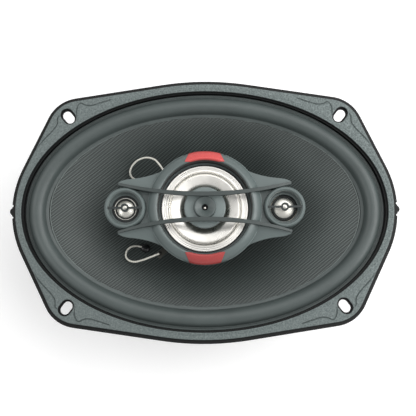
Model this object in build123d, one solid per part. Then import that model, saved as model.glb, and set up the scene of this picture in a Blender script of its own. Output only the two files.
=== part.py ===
from build123d import *

import os
from math import atan2, cos, degrees, pi, radians, sin, sqrt, tan

# Coaxial 6 x 9 inch car speaker, in millimetres.
# Origin: centre of the flange's mounting (back) face.
# +Z is the speaker's axis, out of its front. +X is the long axis.
# The speaker stands on the back of its magnet, face up.

# ---- driving dimensions ------------------------------------------------------------------

# mounting flange
HALF_LENGTH = 118.0
HALF_WIDTH = 81.0
SIDE_ARC_R = 61.4
SIDE_LINE_DEG = 25.7
TOP_ARC_R = 175.0
TOP_LINE_DEG = 8.7
CORNER_R = 22.0
FLANGE_T = 1.2
GASKET_T = 2.8
GASKET_INSET = 1.3
SLOT_X = 84.0
SLOT_Y = 58.8
SLOT_DEG = 52.0
SLOT_R = 2.8
SLOT_LENGTH = 8.4
GASKET_SLOT_R = 4.0
NUB_R = 2.4
NUB_OUT = 1.3

# basket: basin under the flange, windowed wall, spider shelf, motor plate
BASIN_A = 112.0
BASIN_B = 74.6
SHEET_T = 1.2
SEAT_Z = -2.0
SEAT_A = 103.5
SEAT_B = 66.2
WALL_T = 1.4
SHELF_Z = -41.2
SHELF_R = 55.0
SHELF_HOLE_R = 45.0
PLATE_TOP_Z = -50.0
PLATE_HOLE_R = 18.5
WINDOW_TOP_Z = -9.0
WINDOW_LOW_Z = -35.0
WINDOW_HALF_DEG = 16.5
WINDOW_DEGS = (0, 45, 90, 135, 180, 225, 315)

# the wall's edges run inside the seat's and the shelf's sheets
WALL_TOP_Z = SEAT_Z - SHEET_T / 2
WALL_LOW_Z = SHELF_Z - SHEET_T / 2
WALL_LOW_R = SHELF_R - 1.6
WALL_IN_SEAT = 0.3
PANEL_Y = 65.0
PLATE_SCREW_R = 1.6
PLATE_SCREW_RING_R = 36.0
PLATE_SCREW_DEGS = (45, 135, 225, 315)

# motor
TOP_PLATE_R = 48.0
TOP_PLATE_T = 5.0
TOP_PLATE_BORE_R = 17.7
MAGNET_R = 50.0
MAGNET_BORE_R = 25.0
MAGNET_T = 17.0
BACK_PLATE_R = 48.0
BACK_PLATE_T = 5.0
POLE_R = 15.1
POLE_BORE_R = 4.6

# woofer's moving parts
CONE_A = 94.8
CONE_B = 58.6
CONE_RIM_Z = -2.0
CONE_H = 35.0
CONE_T = 0.9
CONE_POWER = 1.4
FORMER_R = 16.2
FORMER_BORE_R = 15.8
FORMER_TOP_Z = -36.5
FORMER_LOW_Z = -60.0
WINDING_R = 16.9
WINDING_LENGTH = 11.6
ROLL_CENTRE_A = 102.9
ROLL_CENTRE_B = 65.8
ROLL_HALF = 5.1
ROLL_H = 5.2
LIP_W = 2.0
ROLL_T = 0.8
SPIDER_R = 51.4

# pod in front of the cone
RING_BORE_R = 28.3
RING_LIP_R = 28.7
RING_LIP_Z = 19.0
RING_OUT_R = 34.2
RING_OUT_Z = 14.4
CHASSIS_LOW_Z = 5.0
CHASSIS_TOP_Z = 8.0
BAR_ARC_R = 195.0
BAR_WAIST_Y = 7.5
BAR_W = 2.6
BAR_TIP_X = 52.0
BAR_TIP_SHARE = 0.6
BAR_TOP_Z = 20.8
BAR_FALL = 5.6
BAR_LOW_Z = 18.0
BAR_FOOT_Z = 12.2
BAR_FOOT_X = 27.0
WING_LOW_Z = 10.4
WING_IN_RING_R = 31.0
WEB_IN_X = 31.5
WEB_OUT_X = 44.0
WEB_HALF_Y = 10.5
WEB_TOP_Z = 12.6
CUP_GAP = 0.2
TWEETER_X = 47.8
CUP_RIM_R = 12.4
CUP_BARREL_R = 10.4
TUB_LOW_Z = -22.0
TUB_FLOOR_T = 1.6
POST_R = 6.5
STUD_R = 4.5
POST_BORE_R = 2.4
NUT_FLATS = 13.0
NUT_T = 2.8

# midrange driver
MID_TOP_Z = -5.0
MID_PLATE_T = 3.0
MID_MAGNET_T = 4.5
MID_YOKE_T = 2.5
MID_FORMER_R = 7.1
MID_POLE_R = 6.3
MID_SEAT_Z = 9.2

# tweeters
DOME_LEFT_R = 5.3
DOME_RIGHT_R = 6.3
DOME_RISE = 2.4
DOME_T = 0.3
DOME_Z = 8.8

# terminals
BOARD_T = 1.6
BLADE_T = 0.8
RIVET_XS = (-10.0, 10.0)
RIVET_Z = -24.0
RIVET_R = 1.5

# silver braided leads between the cone and the pod
LEAD_D = 1.3
LEAD_DAB_XY = (-38.2, 21.6)
UPPER_LUG_XY = (-24.4, 24.0)
LOWER_LUG_XY = (-27.6, -26.8)
LUG_Z = -1.0
LUG_T = 0.5
LUG_HALF_W = 1.9
DAB_R = 3.4
DAB_CENTRE_Z = -18.9

PARTS = {}


def keep(name, shape):
    """Name one sub-part."""
    PARTS[name] = shape


# ---- helpers -----------------------------------------------------------------------------


def disc(radius, z_low, z_high, x=0.0, y=0.0):
    """A plain cylinder between two heights."""
    return Pos(x, y, (z_low + z_high) / 2) * Cylinder(radius, z_high - z_low)


def tube(outer, inner, z_low, z_high, x=0.0, y=0.0):
    return disc(outer, z_low, z_high, x, y) - disc(inner, z_low - 1, z_high + 1, x, y)


def oval(a, b, z_low, z_high):
    """An elliptical plate between two heights."""
    return Pos(0, 0, z_low) * extrude(Ellipse(a, b), z_high - z_low)


def oval_ring(a_out, b_out, a_in, b_in, z_low, z_high):
    return oval(a_out, b_out, z_low, z_high) - oval(a_in, b_in, z_low - 1, z_high + 1)


def turned(points, x=0.0, y=0.0):
    """A solid of revolution about a vertical axis, from a closed (r, z) outline."""
    face = make_face(Polyline([(r, 0, z) for r, z in points], close=True))
    return Pos(x, y, 0) * revolve(face, Axis.Z)


def block(x0, x1, y0, y1, z0, z1):
    return Pos((x0 + x1) / 2, (y0 + y1) / 2, (z0 + z1) / 2) * Box(x1 - x0, y1 - y0, z1 - z0)


def plate(points, z_low, z_high):
    """An upright prism over a closed (x, y) outline."""
    face = make_face(Polyline([(x, y, z_low) for x, y in points], close=True))
    return extrude(face, z_high - z_low, dir=(0, 0, 1))


def side_profile(points, half_width):
    """A prism along Y over a closed (x, z) outline."""
    face = make_face(Polyline([(x, -half_width, z) for x, z in points], close=True))
    return extrude(face, 2 * half_width, dir=(0, 1, 0))


# ---- flange outline ----------------------------------------------------------------------


def flange_outline(inset=0.0):
    """The flange's outline: side and top arcs, straight shoulders and round corners."""
    side_r = SIDE_ARC_R - inset
    top_r = TOP_ARC_R - inset
    corner_r = CORNER_R - inset
    n_side = (cos(radians(SIDE_LINE_DEG)), sin(radians(SIDE_LINE_DEG)))
    n_top = (sin(radians(TOP_LINE_DEG)), cos(radians(TOP_LINE_DEG)))
    side_c = (HALF_LENGTH - SIDE_ARC_R, 0)
    top_c = (0, HALF_WIDTH - TOP_ARC_R)
    # the corner's centre lies one corner radius inside both shoulder lines
    d_side = n_side[0] * side_c[0] + SIDE_ARC_R - CORNER_R
    d_top = n_top[1] * top_c[1] + TOP_ARC_R - CORNER_R
    det = n_side[0] * n_top[1] - n_side[1] * n_top[0]
    corner_c = (
        (d_side * n_top[1] - d_top * n_side[1]) / det,
        (d_top * n_side[0] - d_side * n_top[0]) / det,
    )

    def around(centre, radius, n):
        return (centre[0] + radius * n[0], centre[1] + radius * n[1])

    mid = radians((SIDE_LINE_DEG + 90 - TOP_LINE_DEG) / 2)
    tangent_side = around(side_c, side_r, n_side)
    corner_start = around(corner_c, corner_r, n_side)
    corner_mid = around(corner_c, corner_r, (cos(mid), sin(mid)))
    corner_end = around(corner_c, corner_r, n_top)
    tangent_top = around(top_c, top_r, n_top)
    edges = []
    for sx, sy in ((1, 1), (1, -1), (-1, -1), (-1, 1)):
        side, start, middle, end, top = [
            (sx * p[0], sy * p[1])
            for p in (tangent_side, corner_start, corner_mid, corner_end, tangent_top)
        ]
        edges.append(Line(side, start))
        edges.append(ThreePointArc(start, middle, end))
        edges.append(Line(end, top))
    for s in (1, -1):
        tip = (s * (HALF_LENGTH - inset), 0)
        high = (s * tangent_side[0], tangent_side[1])
        low = (s * tangent_side[0], -tangent_side[1])
        edges.append(ThreePointArc(low, tip, high))
        left = (-tangent_top[0], s * tangent_top[1])
        right = (tangent_top[0], s * tangent_top[1])
        edges.append(ThreePointArc(left, (0, s * (HALF_WIDTH - inset)), right))
    return make_face(Wire(edges))


def corner_slots(radius, length, z_low, z_high):
    """The four screw slots; each one points at the speaker's middle."""
    cuts = []
    for sx in (1, -1):
        for sy in (1, -1):
            angle = SLOT_DEG * sx * sy
            slot = Rot(0, 0, angle) * SlotOverall(length, 2 * radius)
            solid = extrude(slot, z_high - z_low)
            cuts.append(Pos(sx * SLOT_X, sy * SLOT_Y, z_low) * solid)
    return cuts


# ---- basket, gasket ----------------------------------------------------------------------


def wall_section(z, offset=0.0):
    """Half-axes of the wall's outer surface at height z, or of a surface inside it."""
    share = (WALL_TOP_Z - z) / (WALL_TOP_Z - WALL_LOW_Z)
    a = SEAT_A + WALL_IN_SEAT + WALL_T + share * (WALL_LOW_R - SEAT_A - WALL_IN_SEAT - WALL_T)
    b = SEAT_B + WALL_IN_SEAT + WALL_T + share * (WALL_LOW_R - SEAT_B - WALL_IN_SEAT - WALL_T)
    return a - offset, b - offset


def wall_loft(offset):
    """The wall runs from inside the shelf's sheet to inside the seat's sheet."""
    ends = []
    for z in (WALL_LOW_Z, WALL_TOP_Z):
        a, b = wall_section(z, offset)
        ends.append(Pos(0, 0, z) * Ellipse(a, b - 0.001))
    return loft(ends, ruled=True)


def window_cutter(middle_deg):
    """A window between two spokes: it follows the wall from shelf to seat."""
    faces = []
    for z in (WINDOW_LOW_Z, WINDOW_TOP_Z):
        a, b = wall_section(z)
        corners = []
        for grow, side in ((0.8, -1), (0.8, 1), (1.25, 1), (1.25, -1)):
            t = radians(middle_deg + side * WINDOW_HALF_DEG)
            corners.append((grow * a * cos(t), grow * b * sin(t), z))
        faces.append(make_face(Polyline(corners, close=True)))
    return loft(faces, ruled=True)


def make_basket():
    flange = extrude(flange_outline(), FLANGE_T)
    for s in (1, -1):
        flange += disc(NUB_R, 0, FLANGE_T, s * (HALF_LENGTH + NUB_OUT - NUB_R))
        for side in (1, -1):
            flange -= disc(0.8, -1, FLANGE_T + 1, s * HALF_LENGTH, side * 3.6)
    basin_in_a = BASIN_A - SHEET_T
    basin_in_b = BASIN_B - SHEET_T
    flange -= oval(basin_in_a, basin_in_b, -1, FLANGE_T + 1)
    flange -= corner_slots(SLOT_R, SLOT_LENGTH, -1, FLANGE_T + 1)
    basin = oval_ring(BASIN_A, BASIN_B, basin_in_a, basin_in_b, SEAT_Z - SHEET_T, FLANGE_T / 2)
    seat_out_a = BASIN_A - SHEET_T / 2
    seat_out_b = BASIN_B - SHEET_T / 2
    seat = oval_ring(seat_out_a, seat_out_b, SEAT_A, SEAT_B, SEAT_Z - SHEET_T, SEAT_Z)
    wall = wall_loft(0) - wall_loft(WALL_T)
    # pressed pocket that carries the terminal board
    pocket = block(-19, 19, -PANEL_Y, -40, -34, -18) - wall_loft(WALL_T / 2)
    wall = wall + pocket - block(-17.6, 17.6, -PANEL_Y + SHEET_T, -40, -32.6, -19.4)
    for middle in WINDOW_DEGS:
        wall -= window_cutter(middle)
    shelf = tube(SHELF_R, SHELF_HOLE_R, SHELF_Z - SHEET_T, SHELF_Z)
    step = tube(SHELF_HOLE_R + SHEET_T, SHELF_HOLE_R, PLATE_TOP_Z, SHELF_Z - SHEET_T)
    floor = tube(SHELF_HOLE_R + SHEET_T, PLATE_HOLE_R, PLATE_TOP_Z - SHEET_T, PLATE_TOP_Z)
    basket = flange + basin + seat + wall + shelf + step + floor
    basket -= screw_shanks()
    basket -= terminal_rivet_shanks()
    return basket


def screw_shanks():
    """Shanks of the screws that hold the basket to the top plate."""
    shanks = []
    for angle in PLATE_SCREW_DEGS:
        x = PLATE_SCREW_RING_R * cos(radians(angle))
        y = PLATE_SCREW_RING_R * sin(radians(angle))
        shanks.append(disc(PLATE_SCREW_R, PLATE_TOP_Z - 5.0, PLATE_TOP_Z, x, y))
    return shanks


def make_plate_screws():
    screws = []
    for shank in screw_shanks():
        centre = shank.center()
        head = disc(3.0, PLATE_TOP_Z, PLATE_TOP_Z + 1.8, centre.X, centre.Y)
        recess = Pos(centre.X, centre.Y, PLATE_TOP_Z + 1.3) * Box(0.8, 4.0, 1.0)
        cross = Pos(centre.X, centre.Y, PLATE_TOP_Z + 1.3) * Box(4.0, 0.8, 1.0)
        screws.append(head + shank - recess - cross)
    return Compound(children=screws)


def make_gasket():
    ring = Pos(0, 0, FLANGE_T) * extrude(flange_outline(GASKET_INSET), GASKET_T)
    low = FLANGE_T - 1
    high = FLANGE_T + GASKET_T + 1
    ring -= oval(BASIN_A, BASIN_B - 0.4, low, high)
    ring -= corner_slots(GASKET_SLOT_R, SLOT_LENGTH + 2.2, low, high)
    return ring


# ---- motor -------------------------------------------------------------------------------

TOP_PLATE_Z = PLATE_TOP_Z - SHEET_T
MAGNET_TOP_Z = TOP_PLATE_Z - TOP_PLATE_T
BACK_PLATE_TOP_Z = MAGNET_TOP_Z - MAGNET_T
REAR_Z = BACK_PLATE_TOP_Z - BACK_PLATE_T
POLE_TOP_Z = TOP_PLATE_Z + 1.0
NUT_WELL_R = 10.0
NUT_WELL_TOP_Z = BACK_PLATE_TOP_Z - 0.2


def make_motor():
    top = tube(TOP_PLATE_R, TOP_PLATE_BORE_R, MAGNET_TOP_Z, TOP_PLATE_Z)
    top = chamfer(top.edges().filter_by(GeomType.CIRCLE).sort_by(SortBy.RADIUS)[-2:], 0.6)
    top -= screw_shanks()
    keep("top_plate", top)
    magnet = tube(MAGNET_R, MAGNET_BORE_R, BACK_PLATE_TOP_Z, MAGNET_TOP_Z)
    magnet = chamfer(magnet.edges().filter_by(GeomType.CIRCLE).sort_by(SortBy.RADIUS)[-2:], 1.0)
    keep("ferrite_magnet", magnet)
    back = disc(BACK_PLATE_R, REAR_Z, BACK_PLATE_TOP_Z)
    back = chamfer(back.edges().filter_by(GeomType.CIRCLE).sort_by(SortBy.RADIUS)[-2:], 1.5)
    yoke = back + disc(POLE_R, BACK_PLATE_TOP_Z, POLE_TOP_Z)
    yoke -= disc(POLE_BORE_R, REAR_Z - 1, POLE_TOP_Z + 1)
    yoke -= disc(NUT_WELL_R, REAR_Z - 1, NUT_WELL_TOP_Z)
    keep("t_yoke", yoke)


def hex_nut(across_flats, bore_r, z_low, z_high):
    prism = extrude(RegularPolygon(across_flats / 2, 6, major_radius=False), z_high - z_low)
    return Pos(0, 0, z_low) * prism - disc(bore_r, z_low - 1, z_high + 1)


POST_LOW_Z = REAR_Z + 0.4
POST_TOP_Z = TUB_LOW_Z + 4.2


def make_post():
    post = disc(STUD_R, POST_LOW_Z, POST_TOP_Z) + disc(POST_R, POLE_TOP_Z, TUB_LOW_Z)
    post -= disc(POST_BORE_R, POST_LOW_Z - 1, POST_TOP_Z + 1)
    keep("pod_post", post)
    washer_low = NUT_WELL_TOP_Z - 1.0
    keep("post_rear_washer", tube(8.5, STUD_R, washer_low, NUT_WELL_TOP_Z))
    keep("post_rear_nut", hex_nut(NUT_FLATS, STUD_R, washer_low - NUT_T, washer_low))
    tub_floor = TUB_LOW_Z + TUB_FLOOR_T
    keep("post_front_nut", hex_nut(NUT_FLATS, STUD_R, tub_floor, POST_TOP_Z - 0.4))


# ---- woofer's moving parts ---------------------------------------------------------------


def cone_height(share):
    """Height of the cone's front surface, from neck (0) to rim (1)."""
    return CONE_RIM_Z - CONE_H * (1 - share) ** CONE_POWER


def cone_body(drop):
    sections = []
    for share in (0, 0.1, 0.25, 0.45, 0.7, 1.0):
        a = FORMER_R + share * (CONE_A - FORMER_R)
        b = FORMER_R + share * (CONE_B - FORMER_R)
        sections.append(Pos(0, 0, cone_height(share) - drop) * Ellipse(a, b - 0.001))
    return loft(sections)


def make_cone():
    shell = cone_body(CONE_T) - cone_body(0)
    shell -= disc(FORMER_R + 0.02, CONE_RIM_Z - CONE_H - 3, CONE_RIM_Z - CONE_H + 1.5)
    rim_low = CONE_RIM_Z - CONE_T
    rim = oval_ring(CONE_A + 2.4, CONE_B + 2.4, CONE_A - 0.4, CONE_B - 0.4, rim_low, CONE_RIM_Z)
    keep("woofer_cone", shell + rim)
    keep("voice_coil_former", tube(FORMER_R, FORMER_BORE_R, FORMER_LOW_Z, FORMER_TOP_Z))
    middle = (TOP_PLATE_Z + MAGNET_TOP_Z) / 2
    low = middle - WINDING_LENGTH / 2
    keep("voice_coil_winding", tube(WINDING_R, FORMER_R, low, low + WINDING_LENGTH))
    keep("dust_ring", tube(FORMER_BORE_R, POST_R + 1.3, -39.5, -38.0))


def make_surround():
    """Half-roll surround swept round the oval."""
    x = ROLL_CENTRE_A
    low = SEAT_Z
    high = SEAT_Z + ROLL_T
    r_in = ROLL_HALF - ROLL_T
    top = high + ROLL_H
    with BuildSketch(Plane.XZ) as section:
        with BuildLine():
            Polyline((x - ROLL_HALF, high), (x - ROLL_HALF - LIP_W, high), (x - ROLL_HALF - LIP_W, low))
            Polyline((x - ROLL_HALF - LIP_W, low), (x - r_in, low))
            ThreePointArc((x - r_in, low), (x, top - ROLL_T), (x + r_in, low))
            Polyline((x + r_in, low), (x + ROLL_HALF + LIP_W, low), (x + ROLL_HALF + LIP_W, high))
            Line((x + ROLL_HALF + LIP_W, high), (x + ROLL_HALF, high))
            ThreePointArc((x + ROLL_HALF, high), (x, top), (x - ROLL_HALF, high))
        make_face()
    path = Edge.make_ellipse(ROLL_CENTRE_A, ROLL_CENTRE_B)
    return sweep(section.sketch, path=path)


def corrugated(r_in, r_out, flat_in, flat_out, waves, amplitude, thickness, z):
    """A corrugated disc, flat where it is bonded at both edges."""
    start = r_in + flat_in
    pitch = (r_out - flat_out - start) / waves
    half = pitch / 2

    def line(level):
        pieces = [Line((r_in, 0, level), (start, 0, level))]
        for i in range(2 * waves):
            a = start + i * half
            sign = 1 if i % 2 == 0 else -1
            crest = (a + half / 2, 0, level + sign * amplitude)
            pieces.append(ThreePointArc((a, 0, level), crest, (a + half, 0, level)))
        pieces.append(Line((r_out - flat_out, 0, level), (r_out, 0, level)))
        return pieces

    ends = [
        Line((r_in, 0, z), (r_in, 0, z + thickness)),
        Line((r_out, 0, z), (r_out, 0, z + thickness)),
    ]
    face = make_face(Wire(line(z) + line(z + thickness) + ends))
    return revolve(face, Axis.Z)


# ---- terminals ---------------------------------------------------------------------------


def terminal_rivet_shanks():
    shanks = []
    for x in RIVET_XS:
        length = BOARD_T + BLADE_T + SHEET_T
        shank = Rot(90, 0, 0) * Cylinder(RIVET_R, length)
        y = -PANEL_Y + SHEET_T - length / 2
        shanks.append(Pos(x, y, RIVET_Z) * shank)
    return shanks


def make_terminals():
    board = block(-17, 17, -PANEL_Y - BOARD_T, -PANEL_Y, -33, -19) - terminal_rivet_shanks()
    keep("terminal_board", board)
    face_y = -PANEL_Y - BOARD_T
    widths = {"positive_terminal": 6.35, "negative_terminal": 4.75}
    for (name, width), x in zip(widths.items(), RIVET_XS):
        foot = block(x - 4, x + 4, face_y - BLADE_T, face_y, -28, -20)
        blade = block(x - width / 2, x + width / 2, face_y - BLADE_T, face_y, -43, -28)
        hole = Pos(x, face_y - BLADE_T / 2, -39.5) * Rot(90, 0, 0) * Cylinder(0.9, 3)
        keep(name, foot + blade - hole - terminal_rivet_shanks())
    rivets = []
    for shank in terminal_rivet_shanks():
        c = shank.center()
        head = Pos(c.X, face_y - BLADE_T - 0.5, RIVET_Z) * Rot(90, 0, 0) * Cylinder(2.7, 1.0)
        rivets.append(shank + head)
    keep("terminal_rivets", Compound(children=rivets))


# ---- pod ---------------------------------------------------------------------------------


def bar_y(x):
    """Height of a bar's middle line above the long axis."""
    return BAR_WAIST_Y + BAR_ARC_R - sqrt(BAR_ARC_R**2 - x**2)


def bar_top(x):
    """Front of a bar: nearly level over the ring, then down to the tips."""
    return BAR_TOP_Z - BAR_FALL * abs(x / BAR_TIP_X) ** 3


def bar_band():
    """The upper bar's plan: an arc band tapering to a blunt tip past each tweeter."""
    half = BAR_W / 2
    x = BAR_TIP_X
    high = bar_y(x) + half * BAR_TIP_SHARE
    low = bar_y(x) - half * BAR_TIP_SHARE
    edges = [
        ThreePointArc((-x, high), (0, BAR_WAIST_Y + half), (x, high)),
        Line((x, high), (x, low)),
        ThreePointArc((-x, low), (0, BAR_WAIST_Y - half), (x, low)),
        Line((-x, low), (-x, high)),
    ]
    return make_face(Wire(edges))


def make_bar():
    """One bar, standing on the wings and bridging the ring's opening."""
    solid = Pos(0, 0, BAR_FOOT_Z) * extrude(bar_band(), 12)
    steps = 24
    end_x = BAR_TIP_X + 1
    xs = [end_x - i * 2 * end_x / steps for i in range(steps + 1)]
    top = [(x, bar_top(min(abs(x), BAR_TIP_X))) for x in xs]
    foot = [
        (-end_x, BAR_FOOT_Z),
        (-BAR_FOOT_X - 2, BAR_FOOT_Z),
        (-BAR_FOOT_X, BAR_LOW_Z),
        (BAR_FOOT_X, BAR_LOW_Z),
        (BAR_FOOT_X + 2, BAR_FOOT_Z),
        (end_x, BAR_FOOT_Z),
    ]
    return solid & side_profile(top + foot, 40)


def ring_profile(proud=0.0):
    """The ring's turned outline: upright bore, rounded lip, face falling to the skirt."""
    lip = RING_LIP_Z + proud
    return [
        (RING_BORE_R, CHASSIS_TOP_Z),
        (RING_BORE_R, lip - 1.2),
        (RING_LIP_R, lip - 0.3),
        (29.4, lip),
        (30.6, lip - 0.5),
        (32.2, lip - 1.7),
        (33.5, lip - 3.2),
        (RING_OUT_R, RING_OUT_Z + proud),
        (RING_OUT_R, CHASSIS_TOP_Z),
    ]


def make_inserts():
    """Keystone-shaped trim inserts at the ring's top and bottom."""
    band = turned(ring_profile(0.4)) - disc(60, 0, 12.0)
    wedge = plate([(-11.9, 27), (-9.2, 33.4), (-9.0, 36), (9.0, 36), (9.2, 33.4), (11.9, 27)], 10, 22)
    top = band & wedge
    return top, mirror(top, Plane.XZ)


def wing_plan():
    """The right upper wing's plan, from the ring to its tip."""
    root = (23.4, 24.0)
    tip_high = (BAR_TIP_X, bar_y(BAR_TIP_X) + 0.9)
    tip_low = (BAR_TIP_X, bar_y(BAR_TIP_X) - 0.9)
    under_bar = [(x, bar_y(x) - 1.0) for x in (36, 20)]
    edges = [
        Spline(root, (33.5, 19.7), (42.7, 17.9), (46.9, 17.4), tip_high),
        Line(tip_high, tip_low),
        ThreePointArc(tip_low, *under_bar),
        Line(under_bar[-1], root),
    ]
    return make_face(Wire(edges))


def make_bezel(bars, inserts):
    ring = turned(ring_profile()) - tube(32.8, 29.9, 0, 12.5)
    # the wings' tops fall from the bars to their outer edges
    fall = [(5, WING_LOW_Z), (30, WING_LOW_Z), (24, 11.8), (12, 15.2), (5, 15.6)]
    fall_face = make_face(Polyline([(-60, y, z) for y, z in fall], close=True))
    slope = extrude(fall_face, 120, dir=(1, 0, 0))
    wing = (Pos(0, 0, WING_LOW_Z - 1) * extrude(wing_plan(), 10)) & slope
    wing -= disc(WING_IN_RING_R, 0, 30)
    wing -= disc(CUP_RIM_R + CUP_GAP, 0, 30, TWEETER_X)
    wings = [wing, mirror(wing, Plane.YZ), mirror(wing, Plane.XZ)]
    wings.append(mirror(wings[1], Plane.XZ))
    body = ring
    for one in wings:
        body += one
    for s in (1, -1):
        middle = s * (WEB_IN_X + WEB_OUT_X) / 2
        half = (WEB_OUT_X - WEB_IN_X) / 2
        web = block(middle - half, middle + half, -WEB_HALF_Y, WEB_HALF_Y, CHASSIS_TOP_Z, WEB_TOP_Z)
        web -= disc(WING_IN_RING_R, 0, 30)
        web -= disc(CUP_RIM_R + CUP_GAP, 0, 30, s * TWEETER_X)
        body += web
    for piece in list(bars) + list(inserts):
        body -= piece
    return body


def pod_plan(ear_half, reach):
    """Plan of the pod's carrier: a disc with one rounded ear each side."""
    middle = Circle(32.6)
    ears = RectangleRounded(2 * reach, 2 * ear_half, ear_half * 0.8)
    quarter = [(40, 12), (24, 22)]
    right = quarter + [(-x, y) for x, y in quarter[::-1]]
    outline = right + [(-x, -y) for x, y in right]
    shoulder = make_face(Polyline(outline, close=True))
    return middle + ears + shoulder


def make_chassis():
    body = Pos(0, 0, CHASSIS_LOW_Z) * extrude(pod_plan(11.6, 58.8), CHASSIS_TOP_Z - CHASSIS_LOW_Z)
    body -= disc(24.8, 0, 12)
    for s in (1, -1):
        body -= disc(CUP_BARREL_R, 0, 12, s * TWEETER_X)
    return body


def make_tub():
    outside = [
        (0, TUB_LOW_Z),
        (15.5, TUB_LOW_Z),
        (23.5, -14),
        (30.0, -3),
        (31.0, CHASSIS_LOW_Z),
        (0, CHASSIS_LOW_Z),
    ]
    inside = [
        (0, TUB_LOW_Z + TUB_FLOOR_T),
        (14.8, TUB_LOW_Z + TUB_FLOOR_T),
        (21.7, -13.6),
        (28.4, -2.6),
        (29.4, CHASSIS_LOW_Z + 1),
        (0, CHASSIS_LOW_Z + 1),
    ]
    return turned(outside) - turned(inside) - disc(STUD_R, TUB_LOW_Z - 1, TUB_LOW_Z + 4)


# ---- midrange driver ---------------------------------------------------------------------


def make_midrange():
    plate_low = MID_TOP_Z - MID_PLATE_T
    magnet_low = plate_low - MID_MAGNET_T
    yoke_low = magnet_low - MID_YOKE_T
    shell = [
        (27.9, CHASSIS_TOP_Z),
        (27.9, MID_SEAT_Z),
        (23.6, MID_SEAT_Z),
        (23.6, 2.0),
        (17.6, -4.0),
        (9.4, -4.0),
        (9.4, MID_TOP_Z),
        (18.2, MID_TOP_Z),
        (24.6, 1.4),
        (24.6, CHASSIS_TOP_Z),
    ]
    keep("midrange_basket", turned(shell))
    keep("midrange_top_plate", tube(18.0, 8.3, plate_low, MID_TOP_Z))
    keep("midrange_magnet", tube(19.0, 10.0, magnet_low, plate_low))
    yoke = disc(18.0, yoke_low, magnet_low) + disc(MID_POLE_R, magnet_low, -4.4)
    keep("midrange_yoke", yoke)
    coil = tube(MID_FORMER_R, MID_FORMER_R - 0.25, -10.0, 0.6)
    coil += tube(MID_FORMER_R + 0.6, MID_FORMER_R, -8.6, -4.4)
    keep("midrange_coil", coil)
    cone = [
        (MID_FORMER_R, -0.4),
        (MID_FORMER_R, 0.4),
        (9.5, 1.7),
        (13.0, 4.0),
        (17.0, 6.8),
        (20.4, 9.6),
        (20.4, 9.2),
        (17.2, 6.3),
        (13.3, 3.4),
        (9.8, 1.0),
    ]
    keep("midrange_cone", turned(cone))
    ridges = [
        (20.8, 9.2), (20.8, 9.7), (21.6, 10.3), (22.4, 9.7), (23.2, 10.3), (24.0, 9.6),
        (26.6, 9.6), (26.6, 9.2), (23.9, 9.2), (23.2, 9.7), (22.4, 9.3), (21.6, 9.8),
    ]
    keep("midrange_surround", turned(ridges))
    plug = [
        (0, -4.4), (5.0, -4.4), (5.0, 12.6), (11.6, 12.6), (12.5, 13.3), (12.5, 14.4),
        (11.9, 15.0), (6.8, 15.0), (6.6, 17.2), (6.2, 17.6), (5.6, 17.6), (1.9, 15.6),
        (1.9, 12.0), (0, 12.0),
    ]
    keep("phase_plug", turned(plug))


# ---- tweeters ----------------------------------------------------------------------------


def make_tweeter(side, x, dome_r, bars):
    cup = [
        (0, -1.5), (9.6, -1.5), (CUP_BARREL_R, -0.7), (CUP_BARREL_R, CHASSIS_TOP_Z),
        (11.6, CHASSIS_TOP_Z), (CUP_RIM_R, 9.4), (CUP_RIM_R, 14.8), (12.1, 16.0), (11.4, 16.7),
        (10.6, 16.7), (9.9, 16.0), (9.6, 15.0), (9.6, 10.2), (8.2, 10.2), (8.2, 0.2), (0, 0.2),
    ]
    guard = (
        block(x - 10.2, x + 10.2, -0.65, 0.65, 15.2, 16.6)
        + tube(2.45, 1.3, 14.9, 17.2, x)
        - disc(1.3, 10, 20, x)
    )
    body = turned(cup, x) - guard
    for bar in bars:
        body -= bar
    keep(f"tweeter_cup_{side}", body)
    keep(f"tweeter_guard_{side}", guard)
    yoke = [(0, 0.2), (8.0, 0.2), (8.0, 7.2), (6.8, 7.2), (6.8, 2.0), (0, 2.0)]
    keep(f"tweeter_yoke_{side}", turned(yoke, x))
    keep(f"tweeter_magnet_{side}", disc(5.0, 2.0, 7.2, x))
    coil = tube(5.8, 5.6, 4.0, 8.5, x) + tube(6.2, 5.8, 4.6, 6.8, x)
    keep(f"tweeter_coil_{side}", coil)
    steps = 6
    shares = [1 - i / steps for i in range(1, steps)]
    inner_r = dome_r - DOME_T
    inner_z = DOME_Z - DOME_T
    dome = [(7.8, inner_z), (7.8, DOME_Z), (dome_r + 0.2, DOME_Z)]
    dome += [(dome_r * s, DOME_Z + DOME_RISE * (1 - s**2)) for s in shares]
    dome += [(0, DOME_Z + DOME_RISE), (0, inner_z + DOME_RISE)]
    dome += [(inner_r * s, inner_z + DOME_RISE * (1 - s**2)) for s in shares[::-1]]
    dome.append((inner_r, inner_z))
    keep(f"tweeter_dome_{side}", turned(dome, x))


# ---- leads from cone to pod --------------------------------------------------------------

# each route runs from the dab on the cone, round a loose loop, to the lug under the pod
UPPER_ROUTE = [
    (-40.2, 21.7, -16.2),
    (-45.6, 21.6, -12.7),
    (-47.4, 26.6, -9.4),
    (-43.6, 32.2, -7.0),
    (-37.4, 34.6, -5.0),
    (-31.4, 33.2, -2.4),
    (-28.0, 29.4, -0.4),
    (-25.2, 25.0, 0.5),
]
LOWER_ROUTE = [
    (-40.0, -20.6, -16.0),
    (-44.8, -19.5, -13.6),
    (-49.3, -23.4, -10.6),
    (-49.1, -28.6, -8.0),
    (-44.4, -31.0, -6.4),
    (-38.6, -29.9, -4.2),
    (-32.8, -28.1, 0.2),
    (-28.0, -26.3, 0.6),
]


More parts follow.
